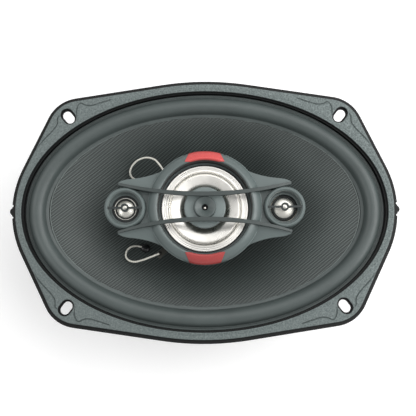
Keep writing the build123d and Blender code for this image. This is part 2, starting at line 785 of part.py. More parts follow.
def lead_radii(route):
    """One radius for each corner, as large as its two runs allow."""
    radii = []
    points = [Vector(p) for p in route]
    for a, b, c in zip(points, points[1:], points[2:]):
        turn = radians((b - a).get_angle(c - b))
        run = min((b - a).length, (c - b).length)
        radii.append(0.45 * run / tan(turn / 2))
    return radii


def make_lead(name, route):
    radii = lead_radii(route)
    path = FilletPolyline(*route, radius=radii)
    start = Plane(origin=path @ 0, z_dir=path % 0)
    body = sweep(start * Circle(LEAD_D / 2), path=path)
    drawn = pi * (LEAD_D / 2) ** 2 * path.length
    print(name, "radii", [round(r, 1) for r in radii], "length", round(path.length, 2))
    print(name, "volume", round(body.volume, 3), "section times length", round(drawn, 3))
    keep(name, body)


def make_lugs():
    """Solder lugs that stick out of the tub's wall under each lead's end."""
    lugs = {}
    for name, (x, y) in (("lead_lug_upper", UPPER_LUG_XY), ("lead_lug_lower", LOWER_LUG_XY)):
        reach = sqrt(x**2 + y**2) + 2.0
        tab = block(28.2, reach, -LUG_HALF_W, LUG_HALF_W, LUG_Z, LUG_Z + LUG_T)
        lugs[name] = Rot(0, 0, degrees(atan2(y, x))) * tab
    return lugs


def make_dabs():
    """Adhesive dabs on the cone's face, each with its lead coming out of it."""
    x, y = LEAD_DAB_XY
    in_front_of_cone = cone_body(0)
    for name, s in (("upper", 1), ("lower", -1)):
        ball = Pos(x, s * y, DAB_CENTRE_Z) * Sphere(DAB_R)
        dab = (ball & in_front_of_cone) - PARTS[f"tinsel_lead_{name}"]
        keep(f"lead_dab_{name}", dab)


# ---- build -------------------------------------------------------------------------------

keep("basket", make_basket())
keep("plate_screws", make_plate_screws())
keep("gasket", make_gasket())
make_motor()
make_post()
make_cone()
keep("surround", make_surround())
keep("spider", corrugated(FORMER_R + 0.05, SPIDER_R, 2.4, 6.6, 6, 1.2, 0.6, SHELF_Z))
make_terminals()

upper_bar = make_bar()
lower_bar = mirror(upper_bar, Plane.XZ)
insert_top, insert_bottom = make_inserts()
keep("bridge_bar_upper", upper_bar)
keep("bridge_bar_lower", lower_bar)
keep("trim_insert_top", insert_top)
keep("trim_insert_bottom", insert_bottom)
keep("pod_bezel", make_bezel((upper_bar, lower_bar), (insert_top, insert_bottom)))
keep("pod_chassis", make_chassis())
make_midrange()
make_tweeter("left", -TWEETER_X, DOME_LEFT_R, (upper_bar, lower_bar))
make_tweeter("right", TWEETER_X, DOME_RIGHT_R, (upper_bar, lower_bar))
keep("tweeter_ring_left", tube(8.2, 6.5, 9.4, 10.2, -TWEETER_X))

lug_pieces = make_lugs()
tub = make_tub()
for lug_name, lug in lug_pieces.items():
    tub -= lug
    keep(lug_name, lug)
keep("pod_tub", tub)
keep("crossover_capacitor", disc(2.8, -7.0, CHASSIS_LOW_Z, -34.3, 0))

make_lead("tinsel_lead_upper", UPPER_ROUTE)
make_lead("tinsel_lead_lower", LOWER_ROUTE)
make_dabs()

os.makedirs("parts", exist_ok=True)
for part_name, shape in PARTS.items():
    export_step(shape, f"parts/{part_name}.step")
print(len(PARTS), "nodes")
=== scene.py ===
"""Coaxial 6 x 9 inch car speaker: its looks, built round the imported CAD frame.

Shapes are written in millimetres in the CAD frame, and mesh_object() turns them into metres.
Material sizes ending in _mm are millimetres too.
"""

from math import cos, pi, radians, sin, tan

import bmesh
import bpy
import numpy as np
from mathutils import Matrix, Vector, geometry, kdtree, noise


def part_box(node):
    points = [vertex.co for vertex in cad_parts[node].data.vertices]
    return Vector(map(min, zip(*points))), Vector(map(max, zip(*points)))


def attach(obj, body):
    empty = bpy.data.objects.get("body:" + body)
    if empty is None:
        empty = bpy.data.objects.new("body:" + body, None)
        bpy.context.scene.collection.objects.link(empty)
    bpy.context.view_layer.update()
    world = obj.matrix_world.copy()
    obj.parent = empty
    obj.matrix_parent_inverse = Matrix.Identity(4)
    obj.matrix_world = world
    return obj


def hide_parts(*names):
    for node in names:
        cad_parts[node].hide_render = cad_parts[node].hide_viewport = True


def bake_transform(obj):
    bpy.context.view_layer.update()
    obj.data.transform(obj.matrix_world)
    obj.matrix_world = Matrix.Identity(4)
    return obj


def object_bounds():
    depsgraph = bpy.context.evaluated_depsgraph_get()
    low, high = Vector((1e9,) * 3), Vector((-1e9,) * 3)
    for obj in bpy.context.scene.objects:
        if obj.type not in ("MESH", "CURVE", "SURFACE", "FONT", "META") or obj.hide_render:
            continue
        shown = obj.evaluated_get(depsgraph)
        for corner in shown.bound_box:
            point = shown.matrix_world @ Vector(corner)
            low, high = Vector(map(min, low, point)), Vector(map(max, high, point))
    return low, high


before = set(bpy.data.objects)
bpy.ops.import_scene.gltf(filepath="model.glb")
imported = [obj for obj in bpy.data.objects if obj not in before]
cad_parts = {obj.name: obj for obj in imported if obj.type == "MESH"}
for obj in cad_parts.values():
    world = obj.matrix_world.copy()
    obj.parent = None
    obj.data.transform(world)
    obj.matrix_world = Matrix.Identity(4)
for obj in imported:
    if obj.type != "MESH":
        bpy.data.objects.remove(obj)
cad_bounds = [list(corner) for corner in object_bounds()]

MM = 0.001


def box_mm(node):
    """A CAD node's lowest and highest corner, in millimetres."""
    low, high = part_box(node)
    return np.array(low) / MM, np.array(high) / MM


# ---- places and sizes taken from the frame ----

GASKET_LOW, GASKET_HIGH = box_mm("gasket")
SURROUND_LOW, SURROUND_HIGH = box_mm("surround")
CONE_HIGH = box_mm("woofer_cone")[1]
SPIDER_LOW, SPIDER_HIGH = box_mm("spider")
FORMER_R = box_mm("voice_coil_former")[1][0]
FLOOR_Z = cad_bounds[0][2]
TWEETER_X = sum(box_mm("tweeter_cup_right")[i][0] for i in (0, 1)) / 2

# the surround's section, measured outward from its centre line
LIP_T = 0.8
ROLL_HALF = 5.1
LIP_W = 2.0
ROLL_OUT = ROLL_HALF + LIP_W
ROLL_A = SURROUND_HIGH[0] - ROLL_OUT
ROLL_B = SURROUND_HIGH[1] - ROLL_OUT
SEAT_Z = SURROUND_LOW[2]
CROWN_Z = SURROUND_HIGH[2]

# the moulded step at the roll's outer foot, and where the roll leaves its lips, in radians
STEP_W = 0.9
STEP_H = 0.3
ROLL_START = 0.16

# the woofer's cone: an oval that deepens towards its neck
CONE_LIP = 2.4
CONE_A = CONE_HIGH[0] - CONE_LIP
CONE_B = CONE_HIGH[1] - CONE_LIP
CONE_RIM_Z = CONE_HIGH[2]
CONE_DEPTH = 35.0
CONE_POWER = 1.4
CONE_T = 0.9


# ---- mesh helpers ----


def in_scene(name, data):
    """A new object made of the data and put in the scene."""
    thing = bpy.data.objects.new(name, data)
    bpy.context.scene.collection.objects.link(thing)
    return thing


def mesh_object(name, points, faces, material, smooth=True):
    """A mesh piece from points in millimetres."""
    mesh = bpy.data.meshes.new(name)
    metres = np.asarray(points, float) * MM
    mesh.from_pydata(metres.tolist(), [], faces)
    mesh.polygons.foreach_set("use_smooth", [smooth] * len(mesh.polygons))
    mesh.materials.append(material)
    return in_scene(name, mesh)


def clean(piece, weld_mm=0.0005):
    """Weld doubled points, drop empty faces and turn every face outward."""
    mesh = bmesh.new()
    mesh.from_mesh(piece.data)
    bmesh.ops.remove_doubles(mesh, verts=mesh.verts, dist=weld_mm * MM)
    bmesh.ops.dissolve_degenerate(mesh, edges=mesh.edges, dist=weld_mm * MM)
    bmesh.ops.recalc_face_normals(mesh, faces=mesh.faces)
    mesh.to_mesh(piece.data)
    mesh.free()
    return piece


def grid_faces(rows, columns, close_rows=False, close_columns=False, first=0):
    """Quads of a grid of points that is stored row by row."""
    r = np.arange(rows if close_rows else rows - 1)
    c = np.arange(columns if close_columns else columns - 1)
    r, c = np.meshgrid(r, c, indexing="ij")
    r_next = (r + 1) % rows
    c_next = (c + 1) % columns
    corners = [r * columns + c, r * columns + c_next, r_next * columns + c_next, r_next * columns + c]
    return (np.stack(corners, -1).reshape(-1, 4) + first).tolist()


def tube(middle, wide, tall, sides, closed=False, first=0):
    """An oval tube's points and faces: wide and tall are its two half widths at each middle point."""
    turn = 2 * pi * np.arange(sides) / sides
    ring = np.cos(turn)[None, :, None] * wide[:, None] + np.sin(turn)[None, :, None] * tall[:, None]
    points = (middle[:, None] + ring).reshape(-1, 3)
    faces = grid_faces(len(middle), sides, close_rows=closed, close_columns=True, first=first)
    if not closed:
        last = first + len(points) - 1
        faces.append([first + s for s in range(sides)])
        faces.append([last - s for s in range(sides)])
    return points, faces


def rounded(outline, radius, steps=4):
    """A closed outline with its corners turned into arcs."""
    made = []
    for i, corner in enumerate(outline):
        p = np.array(corner, float)
        a = np.array(outline[i - 1], float) - p
        c = np.array(outline[(i + 1) % len(outline)], float) - p
        la, lc = np.linalg.norm(a), np.linalg.norm(c)
        a, c = a / la, c / lc
        turn = pi - np.arccos(np.clip(a @ c, -1, 1))
        if turn < radians(4) or radius <= 0:
            made.append(p)
            continue
        back = min(radius * tan(turn / 2), 0.45 * min(la, lc))
        arc_r = back / tan(turn / 2)
        middle = p + (a + c) / np.linalg.norm(a + c) * (arc_r / cos(turn / 2))
        start, end = p + a * back - middle, p + c * back - middle
        for k in range(steps + 1):
            share = k / steps
            spoke = start * sin((1 - share) * turn) + end * sin(share * turn)
            made.append(middle + spoke / sin(turn))
    return np.array(made)


def lathe(name, outline, material, x=0.0, turns=144, radius=0.3):
    """A solid of revolution about an upright axis, from a closed (r, z) outline with eased corners."""
    profile = rounded(outline, radius)
    profile[:, 0] = np.maximum(profile[:, 0], 0)
    angle = np.linspace(0, 2 * pi, turns, endpoint=False)[:, None]
    across = x + np.cos(angle) * profile[:, 0]
    away = np.sin(angle) * profile[:, 0]
    height = np.zeros_like(angle) + profile[:, 1]
    points = np.stack([across, away, height], -1).reshape(-1, 3)
    faces = grid_faces(turns, len(profile), close_rows=True, close_columns=True)
    piece = clean(mesh_object(name, points, faces, material))
    weighted(piece)
    return piece


def weighted(piece):
    """Shade large faces flat and let the eased edges take the turn."""
    modifier = piece.modifiers.new("Weighted normals", "WEIGHTED_NORMAL")
    modifier.keep_sharp = True
    modifier.weight = 80


def oval_sweep(name, section, a, b, material, turns=360):
    """A closed (outward, z) section carried round an ellipse, square to it."""
    t = np.linspace(0, 2 * pi, turns, endpoint=False)
    nx, ny = b * np.cos(t), a * np.sin(t)
    length = np.hypot(nx, ny)
    nx, ny = nx / length, ny / length
    out, z = section[:, 0][None], section[:, 1][None]
    x = (a * np.cos(t))[:, None] + nx[:, None] * out
    y = (b * np.sin(t))[:, None] + ny[:, None] * out
    points = np.stack([x, y, np.zeros_like(x) + z], -1).reshape(-1, 3)
    faces = grid_faces(turns, section.shape[0], close_rows=True, close_columns=True)
    return clean(mesh_object(name, points, faces, material))


def points_of(piece):
    """A mesh piece's points, in millimetres."""
    count = len(piece.data.vertices)
    flat = np.zeros(count * 3, np.float32)
    piece.data.vertices.foreach_get("co", flat)
    return flat.reshape(-1, 3).astype(float) / MM


def set_points(piece, points):
    """Moves a mesh piece's points, given in millimetres."""
    piece.data.vertices.foreach_set("co", (points * MM).astype(np.float32).ravel())
    piece.data.update()


def ramp(value, low, high):
    """0 below low, 1 above high, smooth between them."""
    share = np.clip((value - low) / (high - low), 0, 1)
    return share * share * (3 - 2 * share)


def stretch_between(piece, weight):
    """Bakes the piece's placement into its points; the weight is not used."""
    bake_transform(piece)
    return piece


# ---- material helpers ----


def srgb(red, green, blue):
    """A screen colour from 0 to 255 as the linear colour that the shader takes."""
    linear = []
    for value in (red, green, blue):
        v = value / 255
        linear.append(v / 12.92 if v <= 0.04045 else ((v + 0.055) / 1.055) ** 2.4)
    return (*linear, 1.0)


def scaled(colour, factor):
    """A colour made lighter or darker."""
    return (*[min(1.0, c * factor) for c in colour[:3]], 1.0)


class Finish:
    """A procedural material on the object's own coordinates."""

    def __init__(self, name, colour, roughness, metallic=0.0, **sockets):
        self.material = bpy.data.materials.new(name)
        self.material.use_nodes = True
        self.nodes = self.material.node_tree.nodes
        self.links = self.material.node_tree.links
        self.shader = self.nodes["Principled BSDF"]
        self.colour = colour
        self.shader.inputs["Base Color"].default_value = colour
        self.shader.inputs["Roughness"].default_value = roughness
        self.shader.inputs["Metallic"].default_value = metallic
        for socket, value in sockets.items():
            self.shader.inputs[socket.replace("_", " ")].default_value = value
        self.place = self.nodes.new("ShaderNodeTexCoord").outputs["Object"]
        self.height = None

    def feed(self, socket, value):
        """Links a node's output to the socket, or sets a plain value on it."""
        if isinstance(value, bpy.types.NodeSocket):
            self.links.new(value, socket)
        else:
            socket.default_value = value

    def math(self, operation, a, b=0.0):
        """One sum on two values or sockets."""
        node = self.nodes.new("ShaderNodeMath")
        node.operation = operation
        self.feed(node.inputs[0], a)
        self.feed(node.inputs[1], b)
        return node.outputs[0]

    def times(self, a, b):
        return self.math("MULTIPLY", a, b)

    def plus(self, a, b):
        return self.math("ADD", a, b)

    def from_axis(self, x, y):
        """Distance from the upright axis."""
        return self.math("SQRT", self.plus(self.times(x, x), self.times(y, y)))

    def join(self, x, y, z=0.0):
        """A vector from its three parts."""
        node = self.nodes.new("ShaderNodeCombineXYZ")
        for socket, value in zip(node.inputs, (x, y, z)):
            self.feed(socket, value)
        return node.outputs[0]

    def split(self, vector=None):
        """The x, y and z of a vector, or of the place on the object."""
        node = self.nodes.new("ShaderNodeSeparateXYZ")
        self.feed(node.inputs[0], vector or self.place)
        return node.outputs

    def noise(self, size_mm, detail=2.0, roughness=0.5, vector=None):
        """Soft mottling whose blotches are about size_mm across."""
        node = self.nodes.new("ShaderNodeTexNoise")
        node.inputs["Scale"].default_value = 1 / (size_mm * MM)
        node.inputs["Detail"].default_value = detail
        node.inputs["Roughness"].default_value = roughness
        self.feed(node.inputs["Vector"], vector or self.place)
        return node.outputs["Fac"]

    def cells(self, size_mm):
        """Soft pebbles about size_mm across."""
        node = self.nodes.new("ShaderNodeTexVoronoi")
        node.feature = "SMOOTH_F1"
        node.inputs["Scale"].default_value = 1 / (size_mm * MM)
        self.feed(node.inputs["Vector"], self.place)
        return node.outputs["Distance"]

    def ramp(self, value, low, high, to_low=0.0, to_high=1.0):
        """A value from low to high, spread evenly from to_low to to_high and held beyond them."""
        node = self.nodes.new("ShaderNodeMapRange")
        self.feed(node.inputs["Value"], value)
        for name, number in zip(("From Min", "From Max", "To Min", "To Max"), (low, high, to_low, to_high)):
            node.inputs[name].default_value = number
        return node.outputs["Result"]

    def mix(self, share, a, b):
        """Colour a where the share is 0, and b where it is 1."""
        node = self.nodes.new("ShaderNodeMix")
        node.data_type = "RGBA"
        self.feed(node.inputs["Factor"], share)
        self.feed(node.inputs[6], a)
        self.feed(node.inputs[7], b)
        return node.outputs[2]

    def paint(self, colour):
        self.feed(self.shader.inputs["Base Color"], colour)

    def rough(self, value):
        self.feed(self.shader.inputs["Roughness"], value)

    def uneven_gloss(self, size_mm, detail, low, high):
        """Roughness that drifts from low to high in blotches."""
        self.rough(self.ramp(self.noise(size_mm, detail), 0.3, 0.7, low, high))

    def bump(self, height, depth_mm):
        """Adds one layer of relief over those already there."""
        node = self.nodes.new("ShaderNodeBump")
        node.inputs["Distance"].default_value = depth_mm * MM
        self.feed(node.inputs["Height"], height)
        if self.height is not None:
            self.links.new(self.height, node.inputs["Normal"])
        self.height = node.outputs["Normal"]
        self.links.new(self.height, self.shader.inputs["Normal"])

    def mottled(self, size_mm, spread, detail=3.0):
        """The base colour, a little lighter and darker in blotches."""
        share = self.ramp(self.noise(size_mm, detail), 0.3, 0.7)
        return self.mix(share, scaled(self.colour, 1 - spread), scaled(self.colour, 1 + spread))


def moulded(name, colour, roughness, grain_mm=0.5, grain_depth=0.02, spread=0.06, **sockets):
    """Moulded plastic or rubber: fine grain, slight mottling and uneven gloss."""
    f = Finish(name, colour, roughness, **sockets)
    f.paint(f.mottled(14.0, spread))
    f.uneven_gloss(5.0, 3.0, roughness - 0.05, roughness + 0.06)
    f.bump(f.noise(grain_mm, 2.0), grain_depth)
    return f.material


def turned_metal(name, colour, roughness, ring_mm=0.35, depth=0.012, spread=0.08):
    """Metal with fine rings about an upright axis."""
    f = Finish(name, colour, roughness, metallic=1.0)
    x, y, z = f.split()
    rings = f.noise(ring_mm, 3.0, 0.6, f.join(f.from_axis(x, y), f.times(z, 0.2)))
    share = f.ramp(rings, 0.3, 0.7)
    f.paint(f.mix(share, scaled(colour, 1 - spread), scaled(colour, 1 + spread)))
    f.uneven_gloss(4.0, 3.0, roughness * 0.8, roughness * 1.25)
    f.bump(rings, depth)
    return f.material


def spun_silver(name, colour, roughness):
    """Silvered film: almost smooth, with painted shade that makes it a little greyer at the foot, and slow
    changes of gloss and tint.
    """
    f = Finish(name, colour, roughness, metallic=1.0)
    x, y, _ = f.split()
    # painted shade: a patch below the plug, near the middle, is painted greyer
    low = f.ramp(y, -16 * MM, -10 * MM, 1.0, 0.0)
    foot = f.times(low, f.ramp(f.math("ABSOLUTE", x), 7 * MM, 17 * MM, 1.0, 0.0))
    f.paint(f.mix(foot, f.mottled(9.0, 0.03), scaled(colour, 0.72)))
    f.uneven_gloss(6.0, 2.0, roughness * 0.85, roughness * 1.15)
    return f.material


def cast_metal(name, colour, roughness, grain_mm=0.8, depth=0.03, spread=0.15, metallic=1.0):
    """Plain plated or sintered metal with grain, stains and uneven gloss."""
    f = Finish(name, colour, roughness, metallic=metallic)
    f.paint(f.mottled(6.0, spread, 5.0))
    f.uneven_gloss(3.0, 4.0, roughness * 0.75, roughness * 1.3)
    f.bump(f.noise(grain_mm, 4.0, 0.6), depth)
    return f.material


# ---- materials ----

# the cone's twill: the ribs' direction, their pitch, and the floats' pitch along them
WEAVE_DEG = 40.0
WEAVE_ACROSS = 1.56
WEAVE_ALONG = 1.10

WIRE_PITCH = 0.28
SPIDER_PITCH = 0.9
PLUG_BOSS_R = 6.8


def cone_weave():
    """Dark twill cloth in resin: ribs run from lower left to upper right."""
    f = Finish("cone_cloth", srgb(84, 92, 90), 0.42)
    x, y, _ = f.split()
    a = radians(WEAVE_DEG)
    along = f.plus(f.times(x, cos(a)), f.times(y, sin(a)))
    across = f.math("SUBTRACT", f.times(y, cos(a)), f.times(x, sin(a)))
    rib = f.math("COSINE", f.times(across, 2 * pi / (WEAVE_ACROSS * MM)))
    shift = f.times(across, pi / (WEAVE_ACROSS * MM))
    float_phase = f.plus(f.times(along, 2 * pi / (WEAVE_ALONG * MM)), shift)
    crossing = f.math("COSINE", float_phase)
    height = f.plus(f.ramp(rib, -1, 1, 0, 0.6), f.ramp(crossing, -1, 1, 0, 0.4))
    thread = f.math("POWER", height, 1.6)
    patch = f.ramp(f.noise(26.0, 2.0), 0.35, 0.65, 0.85, 1.12)
    # painted shade: the cloth is painted darker towards the top and bottom of the cone, where its slope
    # turns from the light
    shade = f.ramp(f.math("ABSOLUTE", y), 18 * MM, 52 * MM, 1.0, 0.55)
    share = f.times(f.times(thread, patch), shade)
    f.paint(f.mix(share, srgb(32, 38, 37), srgb(94, 102, 100)))
    f.rough(f.ramp(height, 0, 1, 0.62, 0.4))
    f.bump(f.noise(0.18, 2.0), 0.02)
    f.bump(height, 0.06)
    return f.material


def gasket_foam():
    """Dense grey foam with a leathery skin."""
    f = Finish("gasket_foam", srgb(108, 118, 117), 0.62)
    grain = f.cells(0.9)
    fine = f.noise(0.45, 4.0, 0.65)
    share = f.plus(f.times(grain, 0.5), f.times(fine, 0.6))
    worn = f.mix(f.ramp(share, 0.35, 0.8), srgb(78, 88, 87), srgb(134, 144, 143))
    # painted light: the skin is painted paler towards the upper right corner, where the key light stands,
    # and darker towards the lower left; painted shade makes every cut side and every face that doesn't face
    # up dark
    x, y, _ = f.split()
    painted_light_slope = f.ramp(f.plus(x, y), -150 * MM, 150 * MM, 0.5, 1.0)
    skin = f.mix(painted_light_slope, srgb(78, 86, 85), worn)
    facing = f.split(f.nodes.new("ShaderNodeNewGeometry").outputs["Normal"])[2]
    f.paint(f.mix(f.ramp(facing, 0.3, 0.7), srgb(24, 28, 28), skin))
    f.rough(f.ramp(fine, 0.3, 0.7, 0.5, 0.72))
    f.bump(fine, 0.09)
    f.bump(grain, 0.10)
    return f.material


def surround_rubber():
    """Smooth satin rubber with the faintest bloom."""
    f = Finish("surround_rubber", srgb(72, 80, 79), 0.42)
    f.paint(f.mottled(20.0, 0.10))
    f.uneven_gloss(9.0, 3.0, 0.38, 0.47)
    f.bump(f.noise(0.35, 2.0), 0.012)
    return f.material


def spider_cloth():
    """Resin-dipped plain weave, ochre brown."""
    f = Finish("spider_cloth", srgb(178, 140, 84), 0.8)
    x, y, _ = f.split()
    pitch = 2 * pi / (SPIDER_PITCH * MM)
    warp = f.math("SINE", f.times(x, pitch))
    weft = f.math("SINE", f.times(y, pitch))
    weave = f.times(warp, weft)
    f.paint(f.mix(f.ramp(weave, -1, 1), srgb(120, 88, 46), srgb(196, 158, 100)))
    f.bump(weave, 0.08)
    return f.material


def tinsel_braid():
    """Silvered copper tinsel with dull crevices."""
    f = Finish("tinsel", srgb(238, 237, 228), 0.42, metallic=0.35)
    share = f.ramp(f.noise(0.25, 2.0), 0.35, 0.65)
    f.paint(f.mix(share, srgb(222, 220, 208), srgb(250, 249, 242)))
    f.bump(f.noise(0.12, 1.0), 0.02)
    return f.material


def board_laminate():
    """Brown paper laminate with a faint fibre grain."""
    f = Finish("terminal_board", srgb(120, 74, 36), 0.5)
    x, y, z = f.split()
    fibre = f.noise(0.5, 4.0, 0.6, f.join(f.times(x, 0.15), y, z))
    f.paint(f.mix(f.ramp(fibre, 0.3, 0.7), srgb(92, 54, 24), srgb(142, 92, 48)))
    f.bump(fibre, 0.03)
    return f.material


def wound_wire():
    """Enamelled copper wire laid turn on turn."""
    f = Finish("copper_wire", srgb(184, 96, 48), 0.3, metallic=1.0)
    _, _, z = f.split()
    turns = f.math("SINE", f.times(z, 2 * pi / (WIRE_PITCH * MM)))
    f.paint(f.mix(f.ramp(turns, -1, 1), srgb(96, 44, 20), srgb(206, 116, 62)))
    f.bump(turns, 0.06)
    return f.material


def plug_plastic():
    """Moulded plug: a paler satin disc, a painted highlight, round a darker boss, painted shade in its
    dish.
    """
    f = Finish("plug_plastic", srgb(104, 114, 113), 0.34)
    x, y, _ = f.split()
    # painted light: the disc is painted paler for its highlight and the boss darker for the shade in its
    # concave dish
    on_disc = f.ramp(f.from_axis(x, y), (PLUG_BOSS_R - 0.1) * MM, (PLUG_BOSS_R + 0.1) * MM)
    f.paint(f.mix(on_disc, srgb(78, 87, 86), srgb(116, 127, 126)))
    f.uneven_gloss(5.0, 3.0, 0.3, 0.4)
    f.bump(f.noise(0.3, 2.0), 0.006)
    return f.material


def red_trim(name="red_trim", strength=1.0):
    """Coral satin insert with fine metallic grain."""
    f = Finish(name, srgb(206, 78, 76), 0.42, Coat_Weight=0.15)
    fine = f.noise(0.4, 3.0, 0.6)
    dark, pale = scaled(srgb(186, 64, 62), strength), scaled(srgb(218, 92, 90), strength)
    f.paint(f.mix(f.ramp(fine, 0.3, 0.7), dark, pale))
    f.rough(f.ramp(fine, 0.3, 0.7, 0.36, 0.5))
    f.bump(fine, 0.03)
    return f.material


MAT = {
    "basket_paint": moulded("basket_paint", srgb(12, 14, 14), 0.42, 0.9, 0.03, Specular_IOR_Level=0.3),
    "gasket_foam": gasket_foam(),
    "surround_rubber": surround_rubber(),
    "cone_fibre": cone_weave(),
    "spider_cloth": spider_cloth(),
    "plated_steel": turned_metal("plated_steel", srgb(196, 192, 176), 0.3),
    "ferrite": cast_metal("ferrite", srgb(54, 53, 52), 0.6, 0.6, 0.05, 0.12, metallic=0.2),
    "pod_plastic": moulded("pod_plastic", srgb(94, 104, 103), 0.33, 0.3, 0.008),
    "red_trim": red_trim(),
    "silver_film": spun_silver("silver_film", srgb(246, 244, 238), 0.3),
    "former_film": moulded("former_film", srgb(186, 150, 92), 0.4, 0.6, 0.01),
    "copper_wire": wound_wire(),
    "board": board_laminate(),
    "tinned_brass": cast_metal("tinned_brass", srgb(214, 212, 204), 0.28, 0.5, 0.015, 0.06),
    "tinsel": tinsel_braid(),
    "adhesive": moulded("adhesive", srgb(22, 23, 24), 0.3, 0.8, 0.06),
    "felt": moulded("felt", srgb(36, 37, 38), 0.9, 0.25, 0.12),
    "sleeve": moulded("sleeve", srgb(28, 44, 92), 0.35, 0.6, 0.01),
}
BAR_PLASTIC = moulded("bar_plastic", srgb(56, 64, 63), 0.4, 0.3, 0.008)
# painted highlight: a paler copy of the pod plastic for the thin bright line along the ring's outer edge
EDGE_HIGHLIGHT_PLASTIC = moulded("edge_plastic", srgb(132, 143, 142), 0.32, 0.3, 0.006)
BORE_BLACK = moulded("bore_black", srgb(26, 30, 30), 0.6, 0.4, 0.02)
GUARD_PLASTIC = moulded("guard_plastic", srgb(38, 44, 44), 0.4, 0.3, 0.008)
PLUG_PLASTIC = plug_plastic()
# painted shade: the bottom insert takes a darker copy of the red, for the shade on its face that slopes
# away from the key light
SHADED_RED = red_trim("shaded_red_trim", 0.62)
# painted shadow: the lugs and their solder lie in deep shadow under the pod, so their tinned metal is
# painted dark
SHADED_TAB = cast_metal("shaded_tab", srgb(70, 70, 66), 0.55, 0.5, 0.02, 0.15)
GLUE = moulded("glue_line", srgb(104, 112, 110), 0.4, 0.6, 0.05)
SILVER_DOME = spun_silver("silver_dome", srgb(240, 238, 230), 0.3)
OWN_FINISH = {
    "bridge_bar_upper": BAR_PLASTIC,
    "bridge_bar_lower": BAR_PLASTIC,
    "tweeter_guard_left": GUARD_PLASTIC,
    "tweeter_guard_right": GUARD_PLASTIC,
    "phase_plug": PLUG_PLASTIC,
    "trim_insert_bottom": SHADED_RED,
    "lead_lug_upper": SHADED_TAB,
    "lead_lug_lower": SHADED_TAB,
}
EASED = {
    "pod_bezel": 0.35,
    "bridge_bar_upper": 0.3,
    "bridge_bar_lower": 0.3,
    "trim_insert_top": 0.3,
    "trim_insert_bottom": 0.3,
    "tweeter_cup_left": 0.25,
    "tweeter_cup_right": 0.25,
    "tweeter_guard_left": 0.15,
    "tweeter_guard_right": 0.15,
    "phase_plug": 0.2,
}
EASED_ABOVE_DEG = 28.0
FLAT_WITHIN_DEG = 0.8
WELD = 0.0004


def dress_cad_nodes():
    """Every CAD node takes its own finish, or else the material of its slot."""
    for name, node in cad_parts.items():
        slot = node.data.materials[0].name.split(".")[0]
        node.data.materials[0] = OWN_FINISH.get(name, MAT[slot])


def ease_cad_edges():
    """Small rounds on the edges of the pod's CAD nodes, each as wide as EASED says."""
    for name, width in EASED.items():
        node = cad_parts[name]
        weld = node.modifiers.new("Weld", "WELD")
        weld.merge_threshold = WELD * MM
        flat = node.modifiers.new("Flat faces", "DECIMATE")
        flat.decimate_type = "DISSOLVE"
        flat.angle_limit = radians(FLAT_WITHIN_DEG)
        bevel = node.modifiers.new("Eased edges", "BEVEL")
        bevel.width = width * MM
        bevel.segments = 3
        bevel.limit_method = "ANGLE"
        bevel.angle_limit = radians(EASED_ABOVE_DEG)
        bevel.use_clamp_overlap = True
        bevel.harden_normals = True


# ---- gasket ----

# how far the rows of points beside a cut edge stand from it: the last is the edge's rounding
EASE = (0.0, 0.08, 0.25, 0.5)
# the foam is cut this much smaller than its solid, so that the flange's rim shows
RIM_SHOWN = 1.1
# spacing of the points along the two long edges, round a slot, over the face, and where it is measured
EDGE_STEP = 0.9
SLOT_STEP = 0.6
FACE_STEP = 1.0
FINE_STEP = 0.12
SLOT_AT_MOST = 50
# two fine grooves follow the inner edge
GROOVES = (1.0, 1.9)
GROOVE_HALF = 0.22
GROOVE_DEPTH = 0.16
FOAM_WAVE = 0.05
# the moulded seam round the right upper slot, which the other three mirror
SEAM_HALF = 0.45
SEAM_DEPTH = 0.6
SEAM_STEP = 0.45
SEAM = [
    (107.5, 33.5), (99.5, 43.4), (93.2, 50.2), (90.7, 54.2), (90.4, 58.2), (88.2, 59.6),
    (85.6, 56.6), (81.9, 54.3), (79.2, 57.2), (78.8, 63.4), (76.6, 67.0), (73.2, 65.8),
    (69.6, 65.6), (64.0, 67.2), (57.6, 69.3),
]


def top_loops(node_name):
    """The closed edges of a flat-topped CAD node's top face, in millimetres."""
    mesh = bmesh.new()
    mesh.from_mesh(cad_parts[node_name].data)
    bmesh.ops.remove_doubles(mesh, verts=mesh.verts, dist=WELD * MM)
    top = max(v.co.z for v in mesh.verts)
    level = {v for v in mesh.verts if abs(v.co.z - top) < 0.001 * MM}
    faces = {f for f in mesh.faces if all(v in level for v in f.verts)}
    next_to = {}
    for edge in mesh.edges:
        if sum(f in faces for f in edge.link_faces) == 1:
            a, b = edge.verts
            next_to.setdefault(a, []).append(b)
            next_to.setdefault(b, []).append(a)
    loops = []
    left = set(next_to)
    while left:
        start = min(left, key=lambda v: (v.co.x, v.co.y))
        loop, here = [start], start
        left.discard(start)
        while True:
            ahead = [v for v in next_to[here] if v in left]
            if not ahead:
                break
            here = ahead[0]
            left.discard(here)
            loop.append(here)
        loops.append(np.array([(v.co.x, v.co.y) for v in loop]) / MM)
    mesh.free()
    return sorted(loops, key=lambda points: -np.ptp(points[:, 0]))


def resampled(loop, spacing):
    """A closed loop's points at even spacing."""
    closed = np.vstack([loop, loop[:1]])
    gone = np.concatenate([[0], np.cumsum(np.linalg.norm(np.diff(closed, axis=0), axis=1))])
    count = int(round(gone[-1] / spacing))
    at = np.linspace(0, gone[-1], count, endpoint=False)
    return np.stack([np.interp(at, gone, closed[:, i]) for i in (0, 1)], -1)


def inside(points, loop):
    """Whether each point lies inside a closed loop."""
    x, y = points[:, 0][:, None], points[:, 1][:, None]
    a, b = loop, np.roll(loop, -1, axis=0)
    spans = (a[:, 1] > y) != (b[:, 1] > y)
    rise = b[:, 1] - a[:, 1]
    cross = a[:, 0] + (y - a[:, 1]) * (b[:, 0] - a[:, 0]) / np.where(rise == 0, 1e-12, rise)
    return (spans & (x < cross)).sum(1) % 2 == 1


